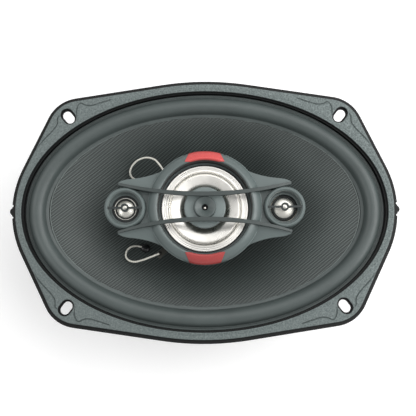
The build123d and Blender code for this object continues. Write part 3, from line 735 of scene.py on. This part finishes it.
def away_from(points, line):
    """Each plan point's distance from a line of closely spaced points."""
    tree = kdtree.KDTree(len(line))
    for i, place in enumerate(line):
        tree.insert((*place, 0), i)
    tree.balance()
    return np.array([tree.find((*place, 0))[2] for place in points])


def shifted(loop, distance):
    """A closed loop moved sideways, to the left of its own direction."""
    ahead = np.roll(loop, -1, axis=0) - np.roll(loop, 1, axis=0)
    ahead /= np.linalg.norm(ahead, axis=1)[:, None]
    return loop + distance * np.stack([-ahead[:, 1], ahead[:, 0]], -1)


def winding(loop):
    """1 where a closed loop runs anticlockwise, and -1 where it runs clockwise."""
    ahead = np.roll(loop, -1, axis=0)
    return np.sign(np.sum(loop[:, 0] * ahead[:, 1] - loop[:, 1] * ahead[:, 0]))


def seam_line(sx, sy):
    """The moulded seam round one corner's slot, as a smooth open line."""
    p = np.array(SEAM) * (sx, sy)
    padded = np.vstack([2 * p[0] - p[1], p, 2 * p[-1] - p[-2]])
    made = []
    for i in range(1, len(padded) - 2):
        p0, p1, p2, p3 = padded[i - 1 : i + 3]
        steps = max(2, int(np.linalg.norm(p2 - p1) / SEAM_STEP))
        for k in range(steps):
            t = k / steps
            bend = (2 * p0 - 5 * p1 + 4 * p2 - p3) * t**2 + (3 * p1 - p0 - 3 * p2 + p3) * t**3
            made.append(0.5 * (2 * p1 + (p2 - p0) * t + bend))
    return np.array(made)


def gasket_loops():
    """The foam's outer edge, its inner edge and its four slots, as evenly spaced loops."""
    loops = []
    for loop in top_loops("gasket"):
        long = np.ptp(loop[:, 0]) > SLOT_AT_MOST
        loops.append(resampled(loop, EDGE_STEP if long else SLOT_STEP))
    loops[0] = shifted(loops[0], winding(loops[0]) * RIM_SHOWN)
    return loops


def foam_plan(loops, grooves, seams):
    """Plan points: rows beside the edges, the grooves and the seams, and an even field between them."""
    outer, inner = loops[:2]
    edges = np.vstack(loops)
    rows = []
    for loop in loops:
        inward = winding(loop) if loop is outer else -winding(loop)
        rows += [shifted(loop, inward * inset) for inset in EASE]
    for reach in GROOVES:
        for part in (-GROOVE_HALF, 0, GROOVE_HALF):
            rows.append(shifted(inner, -winding(inner) * (reach + part)))
    for seam in seams:
        for part in np.linspace(-SEAM_HALF, SEAM_HALF, 5):
            line = shifted(seam, part)[1:-1]
            rows.append(line[away_from(line, edges) > EASE[-1] + 0.3])
    span = np.ceil(GASKET_HIGH[:2])
    columns = np.arange(-span[0], span[0], FACE_STEP)
    gx, gy = np.meshgrid(columns, np.arange(-span[1], span[1], FACE_STEP * 0.87))
    gx += FACE_STEP / 2 * (np.arange(gx.shape[0]) % 2)[:, None]
    field = np.stack([gx.ravel(), gy.ravel()], -1)
    field = field[inside(field, outer) & ~inside(field, inner)]
    keep = (away_from(field, edges) > 0.95) & (away_from(field, np.vstack(seams)) > 0.75)
    keep &= np.all([away_from(field, line) > 0.45 for line in grooves], axis=0)
    for slot in loops[2:]:
        keep &= ~inside(field, slot)
    flat = np.vstack(rows + [field[keep]])
    _, first = np.unique(np.round(flat, 4), axis=0, return_index=True)
    return flat[np.sort(first)]


def foam_height(flat, loops, grooves, seams):
    """The top's height: eased at every edge, sunk along seams and grooves, and a little uneven."""
    edges = np.vstack([resampled(loop, FINE_STEP) for loop in loops])
    share = np.clip(1 - away_from(flat, edges) / EASE[-1], 0, 1)
    z = GASKET_HIGH[2] - EASE[-1] * (1 - np.sqrt(1 - share**2 * 0.98))
    z -= SEAM_DEPTH * (1 - ramp(away_from(flat, np.vstack(seams)), 0.05, SEAM_HALF))
    for line in grooves:
        z -= GROOVE_DEPTH * (1 - ramp(away_from(flat, resampled(line, FINE_STEP)), 0.02, 0.2))
    z += [FOAM_WAVE * noise.noise(Vector((x / 1.6, y / 1.6, 0))) for x, y in flat]
    return np.minimum(z, GASKET_HIGH[2])


def open_sides(faces):
    """The sides that belong to one face only, each in that face's own direction."""
    sides = {}
    for face in faces:
        for a, b in zip(face, face[1:] + face[:1]):
            if (b, a) in sides:
                del sides[(b, a)]
            else:
                sides[(a, b)] = True
    return list(sides)


def make_gasket():
    """Die-cut foam ring with moulded seams, closed by walls and a flat underside."""
    loops = gasket_loops()
    grooves = [shifted(loops[1], -winding(loops[1]) * reach) for reach in GROOVES]
    seams = [seam_line(sx, sy) for sx in (1, -1) for sy in (1, -1)]
    flat = foam_plan(loops, grooves, seams)
    made = geometry.delaunay_2d_cdt([Vector(place) for place in flat.tolist()], [], [], 0, 1e-6)
    flat = np.array([tuple(v) for v in made[0]])
    faces = np.array([f for f in made[2] if len(f) == 3])
    middle = flat[faces].mean(1)
    keep = inside(middle, loops[0])
    for hole in loops[1:]:
        keep &= ~inside(middle, hole)
    used, faces = np.unique(faces[keep], return_inverse=True)
    faces = faces.reshape(-1, 3)
    z = foam_height(flat, loops, grooves, seams)[used]
    flat = flat[used]
    count = len(flat)
    points = np.vstack([np.column_stack([flat, z]), np.column_stack([flat, np.full(count, GASKET_LOW[2])])])
    walls = [(b, a, a + count, b + count) for a, b in open_sides(faces.tolist())]
    all_faces = faces.tolist() + (faces[:, ::-1] + count).tolist() + walls
    piece = mesh_object("gasket_ring", points, all_faces, MAT["gasket_foam"])
    clean(piece)
    piece.data.set_sharp_from_angle(angle=radians(50))
    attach(piece, "frame")
    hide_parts("gasket")


# ---- surround, glue line, cone, spider ----


def make_surround():
    """Half roll with a moulded step at its outer foot and a thin flat lip each side."""
    lip_z = SEAT_Z + LIP_T
    rise = CROWN_Z - lip_z
    angles = np.linspace(ROLL_START, pi - ROLL_START, 30)
    outline = [(ROLL_OUT, lip_z), (ROLL_HALF + STEP_W, lip_z)]
    outline += [(ROLL_HALF + STEP_W - STEP_H, lip_z + STEP_H), (ROLL_HALF + 0.1, lip_z + STEP_H)]
    outline += [(ROLL_HALF * cos(a), lip_z + rise * sin(a)) for a in angles]
    outline += [(-ROLL_HALF - 0.3, lip_z), (-ROLL_OUT, lip_z - 0.35), (-ROLL_OUT, SEAT_Z)]
    outline += [((ROLL_HALF - LIP_T) * cos(a), SEAT_Z + rise * sin(a)) for a in angles[::-1]]
    outline += [(ROLL_OUT, SEAT_Z)]
    section = rounded(outline, 0.25, 3)
    piece = oval_sweep("surround_roll", section, ROLL_A, ROLL_B, MAT["surround_rubber"], 420)
    points = points_of(piece)
    wobble = np.array([noise.noise(Vector((x / 9, y / 9, 3.0))) for x, y, z in points])
    points[:, 2] += 0.05 * wobble * ramp(points[:, 2], lip_z, lip_z + 2)
    points[:, 2] = np.minimum(points[:, 2], CROWN_Z)
    set_points(piece, points)
    stretch_between(piece, moving_share(points, ROLL_A, ROLL_B, ROLL_HALF))
    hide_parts("surround")


def moving_share(points, a, b, half):
    """1 inside the roll's centre line, 0 outside it, smooth across its width."""
    t = np.linspace(0, 2 * pi, 1440, endpoint=False)
    line = np.stack([a * np.cos(t), b * np.sin(t)], -1)
    gap = away_from(points[:, :2], line)
    level = (points[:, 0] / a) ** 2 + (points[:, 1] / b) ** 2
    outward = np.where(level > 1, gap, -gap)
    return 1 - ramp(outward, -half, half)


def cone_z(share):
    """Height of the cone's front from its neck (0) to its rim (1)."""
    return CONE_RIM_Z - CONE_DEPTH * (1 - np.clip(share, 0, 1)) ** CONE_POWER


def cone_oval(share):
    """The half length and half width of the cone's oval at a share of the way to its rim."""
    return FORMER_R + share * (CONE_A - FORMER_R), FORMER_R + share * (CONE_B - FORMER_R)


def cone_share(x, y):
    """How far a plan point lies from the neck (0) to the rim (1): its oval passes through it."""
    low, high = np.zeros_like(x), np.full_like(x, 1.3)
    for _ in range(30):
        middle = (low + high) / 2
        a, b = cone_oval(middle)
        outside = (x / a) ** 2 + (y / b) ** 2 > 1
        low = np.where(outside, middle, low)
        high = np.where(outside, high, middle)
    return (low + high) / 2


def weave_height(x, y):
    """Relief of the twill, from 0 in its gaps to 1 on its ribs, as in the cone's material."""
    a = radians(WEAVE_DEG)
    along = x * cos(a) + y * sin(a)
    across = y * cos(a) - x * sin(a)
    rib = np.cos(2 * pi * across / WEAVE_ACROSS)
    crossing = np.cos(2 * pi * along / WEAVE_ALONG + pi * across / WEAVE_ACROSS)
    return 0.3 * (rib + 1) + 0.2 * (crossing + 1)


RIM_SHARE = 1.012
NECK_GAP = 0.05
RELIEF = 0.10


def make_cone():
    """Woven cone: the mesh runs along the ribs, and its edges are drawn in to the true ovals."""
    a = radians(WEAVE_DEG)
    step_across, step_along = WEAVE_ACROSS / 4, WEAVE_ALONG / 2
    reach = CONE_A + 4
    across = np.arange(-int(reach / step_across), int(reach / step_across) + 1) * step_across
    along = np.arange(-int(reach / step_along), int(reach / step_along) + 1) * step_along
    w, u = np.meshgrid(across, along, indexing="ij")
    x = u * cos(a) - w * sin(a)
    y = u * sin(a) + w * cos(a)
    on_cone = (cone_share(x, y) < RIM_SHARE) & (np.hypot(x, y) > FORMER_R)
    r, c = np.nonzero(on_cone[:-1, :-1] | on_cone[1:, :-1] | on_cone[:-1, 1:] | on_cone[1:, 1:])
    first = r * len(along) + c
    corners = [first, first + 1, first + len(along) + 1, first + len(along)]
    used, faces = np.unique(np.stack(corners, -1), return_inverse=True)
    x, y = x.ravel()[used], y.ravel()[used]
    # points just outside are drawn in to the rim or the neck
    rim_a, rim_b = cone_oval(RIM_SHARE)
    neck_r = FORMER_R + NECK_GAP
    for _ in range(2):
        level = np.hypot(x / rim_a, y / rim_b)
        pull = np.where(level > 1, 1 / level, 1)
        x, y = x * pull, y * pull
        radius = np.hypot(x, y)
        push = np.where(radius < neck_r, neck_r / np.maximum(radius, 1e-6), 1)
        x, y = x * push, y * push
    z = cone_z(cone_share(x, y)) - RELIEF * (1 - weave_height(x, y)) - 0.02
    points = np.column_stack([x, y, z])
    piece = mesh_object("cone_cloth", points, faces.reshape(-1, 4).tolist(), MAT["cone_fibre"])
    clean(piece, 0.002)
    shell = piece.modifiers.new("Cloth thickness", "SOLIDIFY")
    shell.thickness = (CONE_T - 0.2) * MM
    shell.offset = -1
    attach(piece, "woofer_moving")
    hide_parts("woofer_cone")


def make_glue_line():
    """The uneven bead that joins the surround's inner lip to the cone."""
    a, b = CONE_A + 0.3, CONE_B + 0.3
    middle, wide, tall = [], [], []
    for angle in np.linspace(0, 2 * pi, 520, endpoint=False):
        x, y = a * cos(angle), b * sin(angle)
        out = np.array([b * cos(angle), a * sin(angle), 0])
        out /= np.linalg.norm(out)
        size = 0.34 + 0.12 * noise.noise(Vector((x / 3, y / 3, 0))) + 0.05 * noise.noise(Vector((x, y, 5)))
        drift = 0.18 * noise.noise(Vector((x / 5, y / 5, 9)))
        middle.append(np.array([x, y, CONE_RIM_Z + 0.1]) + drift * out)
        wide.append(size * out)
        tall.append((0, 0, 0.8 * size))
    points, faces = tube(np.array(middle), np.array(wide), np.array(tall), 8, closed=True)
    piece = clean(mesh_object("cone_glue_line", points, faces, GLUE))
    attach(piece, "woofer_moving")


def make_spider():
    """Corrugated cloth disc, bonded at both edges."""
    flat_in, flat_out, waves = 2.4, 8.6, 6
    amplitude, thickness = 1.2, 0.6
    r_in, r_out = FORMER_R + 0.05, SPIDER_HIGH[0]
    level = (SPIDER_LOW[2] + SPIDER_HIGH[2]) / 2
    start, stop = r_in + flat_in, r_out - flat_out
    wavy = np.linspace(start, stop, waves * 16 + 1)
    radii = np.concatenate([[r_in, r_in + 1.2], wavy, [r_out - 4, r_out]])
    swing = np.sin((radii - start) / (stop - start) * 2 * pi * waves)
    middle = level + amplitude * np.where((radii >= start) & (radii <= stop), swing, 0)
    upper = list(zip(radii, middle + thickness / 2))
    lower = list(zip(radii[::-1], middle[::-1] - thickness / 2))
    piece = lathe("spider_disc", upper + lower, MAT["spider_cloth"], turns=180, radius=0)
    points = points_of(piece)
    weight = 1 - ramp(np.hypot(points[:, 0], points[:, 1]), start, stop)
    stretch_between(piece, weight)
    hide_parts("spider")


# ---- midrange and ring ----

FLARE_STEPS = 40
THROAT_Z = 0.5
FLARE_T = 0.35
STEEP_FROM = 4.6
SILVER_EDGE_R = 25.9
RIDGE_R = 21.65
# the silver edge's grooves: radius, half width and depth as a share of its height
EDGE_GROOVES = ((21.0, 0.16, 0.4), (22.35, 0.16, 0.4), (23.9, 0.22, 0.06), (24.9, 0.22, 0.06))
STILL_R = 24.0
RING_BORE_R = 28.3
LINER_TOP_Z = 17.7
RING_EDGE_R = 34.05
RING_EDGE_Z = 14.35
EDGE_BEAD_R = 0.24
EDGE_REACH_DEG = 68
PLUG_HOLE_R = 1.86
PLUG_HOLE_Z = 12.02
SCREW_R = 0.75


def flare_drop(inward):
    """How far the silver cone has sunk at a distance in from its rim: shallow, then steep."""
    shallow = 0.10 * inward + 0.007 * inward**2
    steep = max(0.0, inward - STEEP_FROM)
    return shallow + 0.075 * steep**2


def make_midrange_cone():
    """Spun silver cone, from its rim down to its throat."""
    rim, _, top = box_mm("midrange_cone")[1]
    neck = box_mm("midrange_coil")[1][0] - 0.6
    radii = np.linspace(neck, rim, FLARE_STEPS + 1)
    front = [(r, max(THROAT_Z, top - flare_drop(rim - r))) for r in radii]
    back = [(r, z - FLARE_T) for r, z in front]
    cone = lathe("midrange_cone_face", front + back[::-1], MAT["silver_film"], turns=160, radius=0.05)
    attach(cone, "midrange_moving")
    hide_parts("midrange_cone")


def make_midrange_edge():
    """The silver edge with its ridge and grooves, and the black ring that clamps it."""
    low, high = box_mm("midrange_surround")
    base, r_out = low[2], high[0]
    r_in = box_mm("midrange_cone")[1][0] - 0.3
    radii = np.linspace(r_in, r_out, 200)
    level = 0.45 + 0.4 * np.exp(-(((radii - RIDGE_R) / 0.4) ** 2))
    for groove, width, depth in EDGE_GROOVES:
        level -= depth * np.exp(-(((radii - groove) / width) ** 2))
    upper = base + np.clip(level, 0.05, 1.0) * (high[2] - base)
    lower = np.maximum(upper - 0.25, base)
    outline = list(zip(radii, upper)) + list(zip(radii[::-1], lower[::-1]))
    edge = lathe("midrange_edge", outline, MAT["silver_film"], turns=180, radius=0)
    points = points_of(edge)
    weight = 1 - ramp(np.hypot(points[:, 0], points[:, 1]), r_in + 0.4, STILL_R)
    stretch_between(edge, weight)
    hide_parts("midrange_surround")

    foot = base + 0.3
    clamp = [(SILVER_EDGE_R, foot), (SILVER_EDGE_R, base + 0.9), (r_out, base + 1.1), (r_out, foot)]
    ring = lathe("midrange_clamp_ring", clamp, BORE_BLACK, turns=180, radius=0.15)
    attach(ring, "frame")


def make_bore_liner():
    """A thin black sleeve over the ring's bore, from the silver edge to the lip, that makes the bore dark.
    """
    base = box_mm("midrange_surround")[0][2]
    out_r = RING_BORE_R - 0.02
    liner = [(out_r, base), (out_r, LINER_TOP_Z), (out_r - 0.22, LINER_TOP_Z - 0.1), (out_r - 0.35, base)]
    sleeve = lathe("ring_bore_liner", liner, BORE_BLACK, turns=220, radius=0.05)
    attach(sleeve, "frame")


def make_plug_hole():
    """Painted shade in the plug's nose hole: a black cup over its walls and bottom, with its bright screw
    tip.
    """
    r, z = PLUG_HOLE_R, PLUG_HOLE_Z
    hole = [(0, z), (r, z), (r, z + 3.18), (r - 0.14, z + 3.28), (r - 0.26, z + 0.28), (0, z + 0.23)]
    lining = lathe("plug_hole_painted_shade", hole, BORE_BLACK, turns=64, radius=0.04)
    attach(lining, "frame")
    low = z + 0.18
    tip = [(0, low), (SCREW_R, low), (SCREW_R, low + 0.4), (SCREW_R - 0.15, low + 0.6), (0, low + 0.65)]
    screw = lathe("plug_screw_tip", tip, SILVER_DOME, turns=48, radius=0.05)
    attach(screw, "frame")


def make_ring_edge():
    """A thin bead along the ring's outer edge, where it stands above the wings and webs, in pale plastic: a
    painted highlight along that edge.
    """
    for side, middle_deg in (("right", 0), ("left", 180)):
        reach = np.linspace(middle_deg - EDGE_REACH_DEG, middle_deg + EDGE_REACH_DEG, 120)
        angle = np.radians(reach)
        out = np.column_stack([np.cos(angle), np.sin(angle), np.zeros_like(angle)])
        up = np.zeros_like(out) + (0, 0, 1)
        middle = RING_EDGE_R * out + RING_EDGE_Z * up
        points, faces = tube(middle, EDGE_BEAD_R * out, EDGE_BEAD_R * up, 8)
        bead = clean(mesh_object(f"ring_edge_{side}", points, faces, EDGE_HIGHLIGHT_PLASTIC))
        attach(bead, "frame")


# ---- tweeters ----

DOME_RISE = 1.2
DOME_T = 0.15
LEFT_DOME_R = 5.3
RIGHT_DOME_R = 6.3
ROLL_RISE = 0.25
BEAD_R = 6.45
BEAD_HALF = 0.27


def make_tweeter(side, centre_x, dome_r):
    """A silver dome in a dark rolled surround."""
    low, high = box_mm(f"tweeter_dome_{side}")
    seat = low[2] + 0.3
    out_r = (high[0] - low[0]) / 2
    shares = np.linspace(1, 0, 22)
    front = [(dome_r * s, seat + DOME_RISE * (1 - s**2)) for s in shares]
    back = [((dome_r - DOME_T) * s, seat - 0.2 + DOME_RISE * (1 - s**2)) for s in shares[::-1]]
    dome = lathe(f"tweeter_silver_dome_{side}", front + back, SILVER_DOME, x=centre_x, turns=96, radius=0)
    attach(dome, f"tweeter_{side}_moving")
    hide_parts(f"tweeter_dome_{side}")
    middle, half = (dome_r + out_r) / 2, (out_r - dome_r) / 2 - 0.2
    foot = seat - 0.25
    roll = [(dome_r - 0.1, foot), (dome_r - 0.1, seat)]
    roll += [(middle + half * cos(a), seat + ROLL_RISE * sin(a)) for a in np.linspace(pi, 0, 9)]
    roll += [(out_r, seat), (out_r, foot)]
    flange = lathe(f"tweeter_roll_{side}", roll, BORE_BLACK, x=centre_x, turns=96, radius=0.04)
    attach(flange, f"tweeter_{side}_moving")


def make_left_bead():
    """The left tweeter's thin bright bead in its dark mounting ring."""
    low, high = box_mm("tweeter_ring_left")
    base, top = low[2], high[2]
    out_r = (high[0] - low[0]) / 2
    around = np.linspace(0, 2 * pi, 16, endpoint=False)
    bead_line = [(BEAD_R + BEAD_HALF * cos(a), top - 0.15 + BEAD_HALF * sin(a)) for a in around]
    bead = lathe("tweeter_left_bead", bead_line, SILVER_DOME, x=-TWEETER_X, turns=96, radius=0)
    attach(bead, "frame")
    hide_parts("tweeter_ring_left")
    rest = [(BEAD_R, base), (BEAD_R, top - 0.2), (out_r - 0.4, top - 0.15)]
    rest += [(out_r, top - 0.3), (out_r, base)]
    shade = lathe("tweeter_left_mount", rest, BORE_BLACK, x=-TWEETER_X, turns=96, radius=0.08)
    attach(shade, "frame")


# ---- leads ----

# each route runs from the dab on the cone, round a loose loop, to the lug under the pod
UPPER_ROUTE = [
    (-40.2, 21.7, -16.2), (-45.6, 21.6, -12.7), (-47.4, 26.6, -9.4), (-43.6, 32.2, -7.0),
    (-37.4, 34.6, -5.0), (-31.4, 33.2, -2.4), (-28.0, 29.4, -0.4), (-25.2, 25.0, 0.5),
]
LOWER_ROUTE = [
    (-40.0, -20.6, -16.0), (-44.8, -19.5, -13.6), (-49.3, -23.4, -10.6), (-49.1, -28.6, -8.0),
    (-44.4, -31.0, -6.4), (-38.6, -29.9, -4.2), (-32.8, -28.1, 0.2), (-28.0, -26.3, 0.6),
]
LEAD_D = 1.3
BRAID_PITCH = 5.0
STRAND_R = 0.15
STRAND_WIDE = 1.7 * STRAND_R
STRAND_TALL = 0.8 * STRAND_R
STRAND_SIDES = 6


def route_line(route):
    """Points along the smooth line that has the route as its control points: parabolas end to end."""
    p = np.array(route)
    joints = np.vstack([p[:1], (p[1:-2] + p[2:-1]) / 2, p[-1:]])
    u = np.linspace(0, len(p) - 2, 32 * (len(p) - 1))
    i = np.minimum(u.astype(int), len(p) - 3)
    t = (u - i)[:, None]
    return (1 - t) ** 2 * joints[i] + 2 * t * (1 - t) * p[i + 1] + t**2 * joints[i + 1]


def evenly(points, spacing):
    """A line's points at even spacing, and its length."""
    gone = np.concatenate([[0], np.cumsum(np.linalg.norm(np.diff(points, axis=0), axis=1))])
    at = np.linspace(0, gone[-1], int(gone[-1] / spacing) + 1)
    return np.stack([np.interp(at, gone, points[:, i]) for i in range(3)], -1), gone[-1]


def carried_axes(line):
    """A line's direction at each point, and two axes square to it that don't twist about it."""
    ahead = np.gradient(line, axis=0)
    ahead /= np.linalg.norm(ahead, axis=1)[:, None]
    side = [np.cross(ahead[0], (0, 0, 1))]
    for direction in ahead[1:]:
        carried = side[-1] - direction * (side[-1] @ direction)
        side.append(carried / np.linalg.norm(carried))
    side = np.array(side)
    side /= np.linalg.norm(side, axis=1)[:, None]
    return ahead, side, np.cross(ahead, side)


def braided_lead(name, route, node):
    """Eight flat strands, four each way round, over a thin core."""
    line, length = evenly(route_line(route), 0.2)
    ahead, side, up = carried_axes(line)
    turned = 2 * pi * np.linspace(0, length, len(line)) / BRAID_PITCH
    points, faces = np.zeros((0, 3)), []
    for way in (1, -1):
        for k in range(4):
            angle = way * turned + k * pi / 2
            weave = 0.06 * way * np.cos(4 * turned)
            radius = LEAD_D / 2 - STRAND_R - 0.07 + weave
            out = side * np.cos(angle)[:, None] + up * np.sin(angle)[:, None]
            wide = np.cross(ahead, out) * STRAND_WIDE
            middle = line + out * radius[:, None]
            more, sides = tube(middle, wide, out * STRAND_TALL, STRAND_SIDES, first=len(points))
            points = np.vstack([points, more])
            faces += sides
    core_r = LEAD_D / 2 - 2 * STRAND_R
    more, sides = tube(line, side * core_r, up * core_r, STRAND_SIDES, first=len(points))
    points = np.vstack([points, more])
    faces += sides
    piece = clean(mesh_object(name, points, faces, MAT["tinsel"]), 0.0001)
    share = np.linspace(0, 1, len(line))
    nearest = np.array([np.argmin(np.linalg.norm(line - v, axis=1)) for v in points_of(piece)])
    stretch_between(piece, ramp(share[nearest], 0.05, 0.95))
    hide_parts(node)


LUMPS = 0.12


def blob(name, centre, radii, material, body, seed):
    """A lump of set solder or glue: a ball pressed out of true, with a soft uneven skin."""
    mesh = bmesh.new()
    bmesh.ops.create_icosphere(mesh, subdivisions=4, radius=1.0)
    mesh.verts.index_update()
    points = []
    for v in mesh.verts:
        unit = v.co.copy()
        swell = 1 + LUMPS * noise.noise(unit * 1.3 + Vector((seed, 0, 0)))
        swell += 0.3 * LUMPS * noise.noise(unit * 4)
        if unit.z < 0:
            unit.z *= 0.8
        points.append(np.array(centre) + np.array(unit) * np.array(radii) * swell)
    faces = [[v.index for v in face.verts] for face in mesh.faces]
    mesh.free()
    piece = mesh_object(name, points, faces, material)
    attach(piece, body)
    return piece


def make_leads():
    """Both braids, the solder where each meets its lug, and the glue where each leaves the cone."""
    for side, route, y in (("upper", UPPER_ROUTE, 1), ("lower", LOWER_ROUTE, -1)):
        braided_lead(f"tinsel_braid_{side}", route, f"tinsel_lead_{side}")
        joint = Vector(route[-1]) + Vector((0.1, -0.2 * y, -0.35))
        # painted shadow: the solder takes the lugs' darkened tab metal
        blob(f"solder_{side}", joint, (1.2, 1.2, 0.75), SHADED_TAB, "frame", 3 + y)
        low, high = box_mm(f"lead_dab_{side}")
        middle = (low + high) / 2 - (0, 0, 0.2)
        radii = (high - low) / 2 * (1, 1, 0.95)
        dab = blob(f"cone_dab_{side}", middle, radii, MAT["adhesive"], "woofer_moving", 7 + y)
        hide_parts(f"lead_dab_{side}")


# ---- setting ----

# places in metres
CAMERA_AT = (0.0, -0.073, 0.559)
AIM = (0.0019, 0.0011, 0.004)
LENS = 79.5
SENSOR_W = 36.0
ROLL_DEG = 1.05
FLOOR_HALF = 1.6
FLOOR_GLOW = 0.22
WORLD_STRENGTH = 0.5


def make_camera():
    """Looks down on the speaker from a little below its middle, as the photograph does."""
    data = bpy.data.cameras.new("camera")
    data.lens = LENS
    data.sensor_width = SENSOR_W
    camera = in_scene("camera", data)
    camera.location = CAMERA_AT
    toward = Vector(AIM) - Vector(CAMERA_AT)
    turn = toward.to_track_quat("-Z", "Y").to_matrix()
    turn = turn @ Matrix.Rotation(radians(ROLL_DEG), 3, "Z")
    camera.rotation_euler = turn.to_euler()
    bpy.context.scene.camera = camera


def area_light(name, place, size, power):
    """A soft white panel that faces the speaker: its place and size in metres, its power in watts."""
    data = bpy.data.lights.new(name, "AREA")
    data.shape = "RECTANGLE"
    data.size, data.size_y = size
    data.energy = power
    light = in_scene(name, data)
    light.location = place
    light.rotation_euler = (-Vector(place)).to_track_quat("-Z", "Y").to_euler()


def make_setting():
    """Pale floor, even surroundings and three soft panels."""
    steps = 24
    line = np.linspace(-FLOOR_HALF, FLOOR_HALF, steps)
    gx, gy = np.meshgrid(line, line)
    points = np.column_stack([gx.ravel(), gy.ravel(), np.full(gx.size, FLOOR_Z)]) / MM
    f = Finish("pale_floor", (0.95, 0.95, 0.95, 1), 0.7)
    f.paint(f.mix(f.noise(200.0, 2.0), (0.94, 0.94, 0.94, 1), (0.96, 0.96, 0.96, 1)))
    f.shader.inputs["Emission Color"].default_value = (1, 1, 1, 1)
    f.shader.inputs["Emission Strength"].default_value = FLOOR_GLOW
    floor = mesh_object("floor", points, grid_faces(steps, steps), f.material, smooth=False)
    world = bpy.data.worlds.new("studio")
    world.use_nodes = True
    background = world.node_tree.nodes["Background"].inputs
    background["Color"].default_value = (1, 1, 1, 1)
    background["Strength"].default_value = WORLD_STRENGTH
    bpy.context.scene.world = world
    area_light("key", (0.45, 0.42, 1.00), (1.3, 1.1), 7.0)
    area_light("left_strip", (-0.66, 0.05, 0.70), (0.9, 0.5), 2.4)
    area_light("right_strip", (0.85, 0.00, 0.60), (1.0, 0.6), 6.6)
    bpy.context.scene.view_settings.view_transform = "Standard"


# ---- build ----

make_camera()
dress_cad_nodes()
make_gasket()
make_surround()
make_cone()
make_glue_line()
make_spider()
make_midrange_cone()
make_midrange_edge()
make_bore_liner()
make_tweeter("left", -TWEETER_X, LEFT_DOME_R)
make_tweeter("right", TWEETER_X, RIGHT_DOME_R)
make_left_bead()
make_plug_hole()
make_ring_edge()
make_leads()
ease_cad_edges()
make_setting()
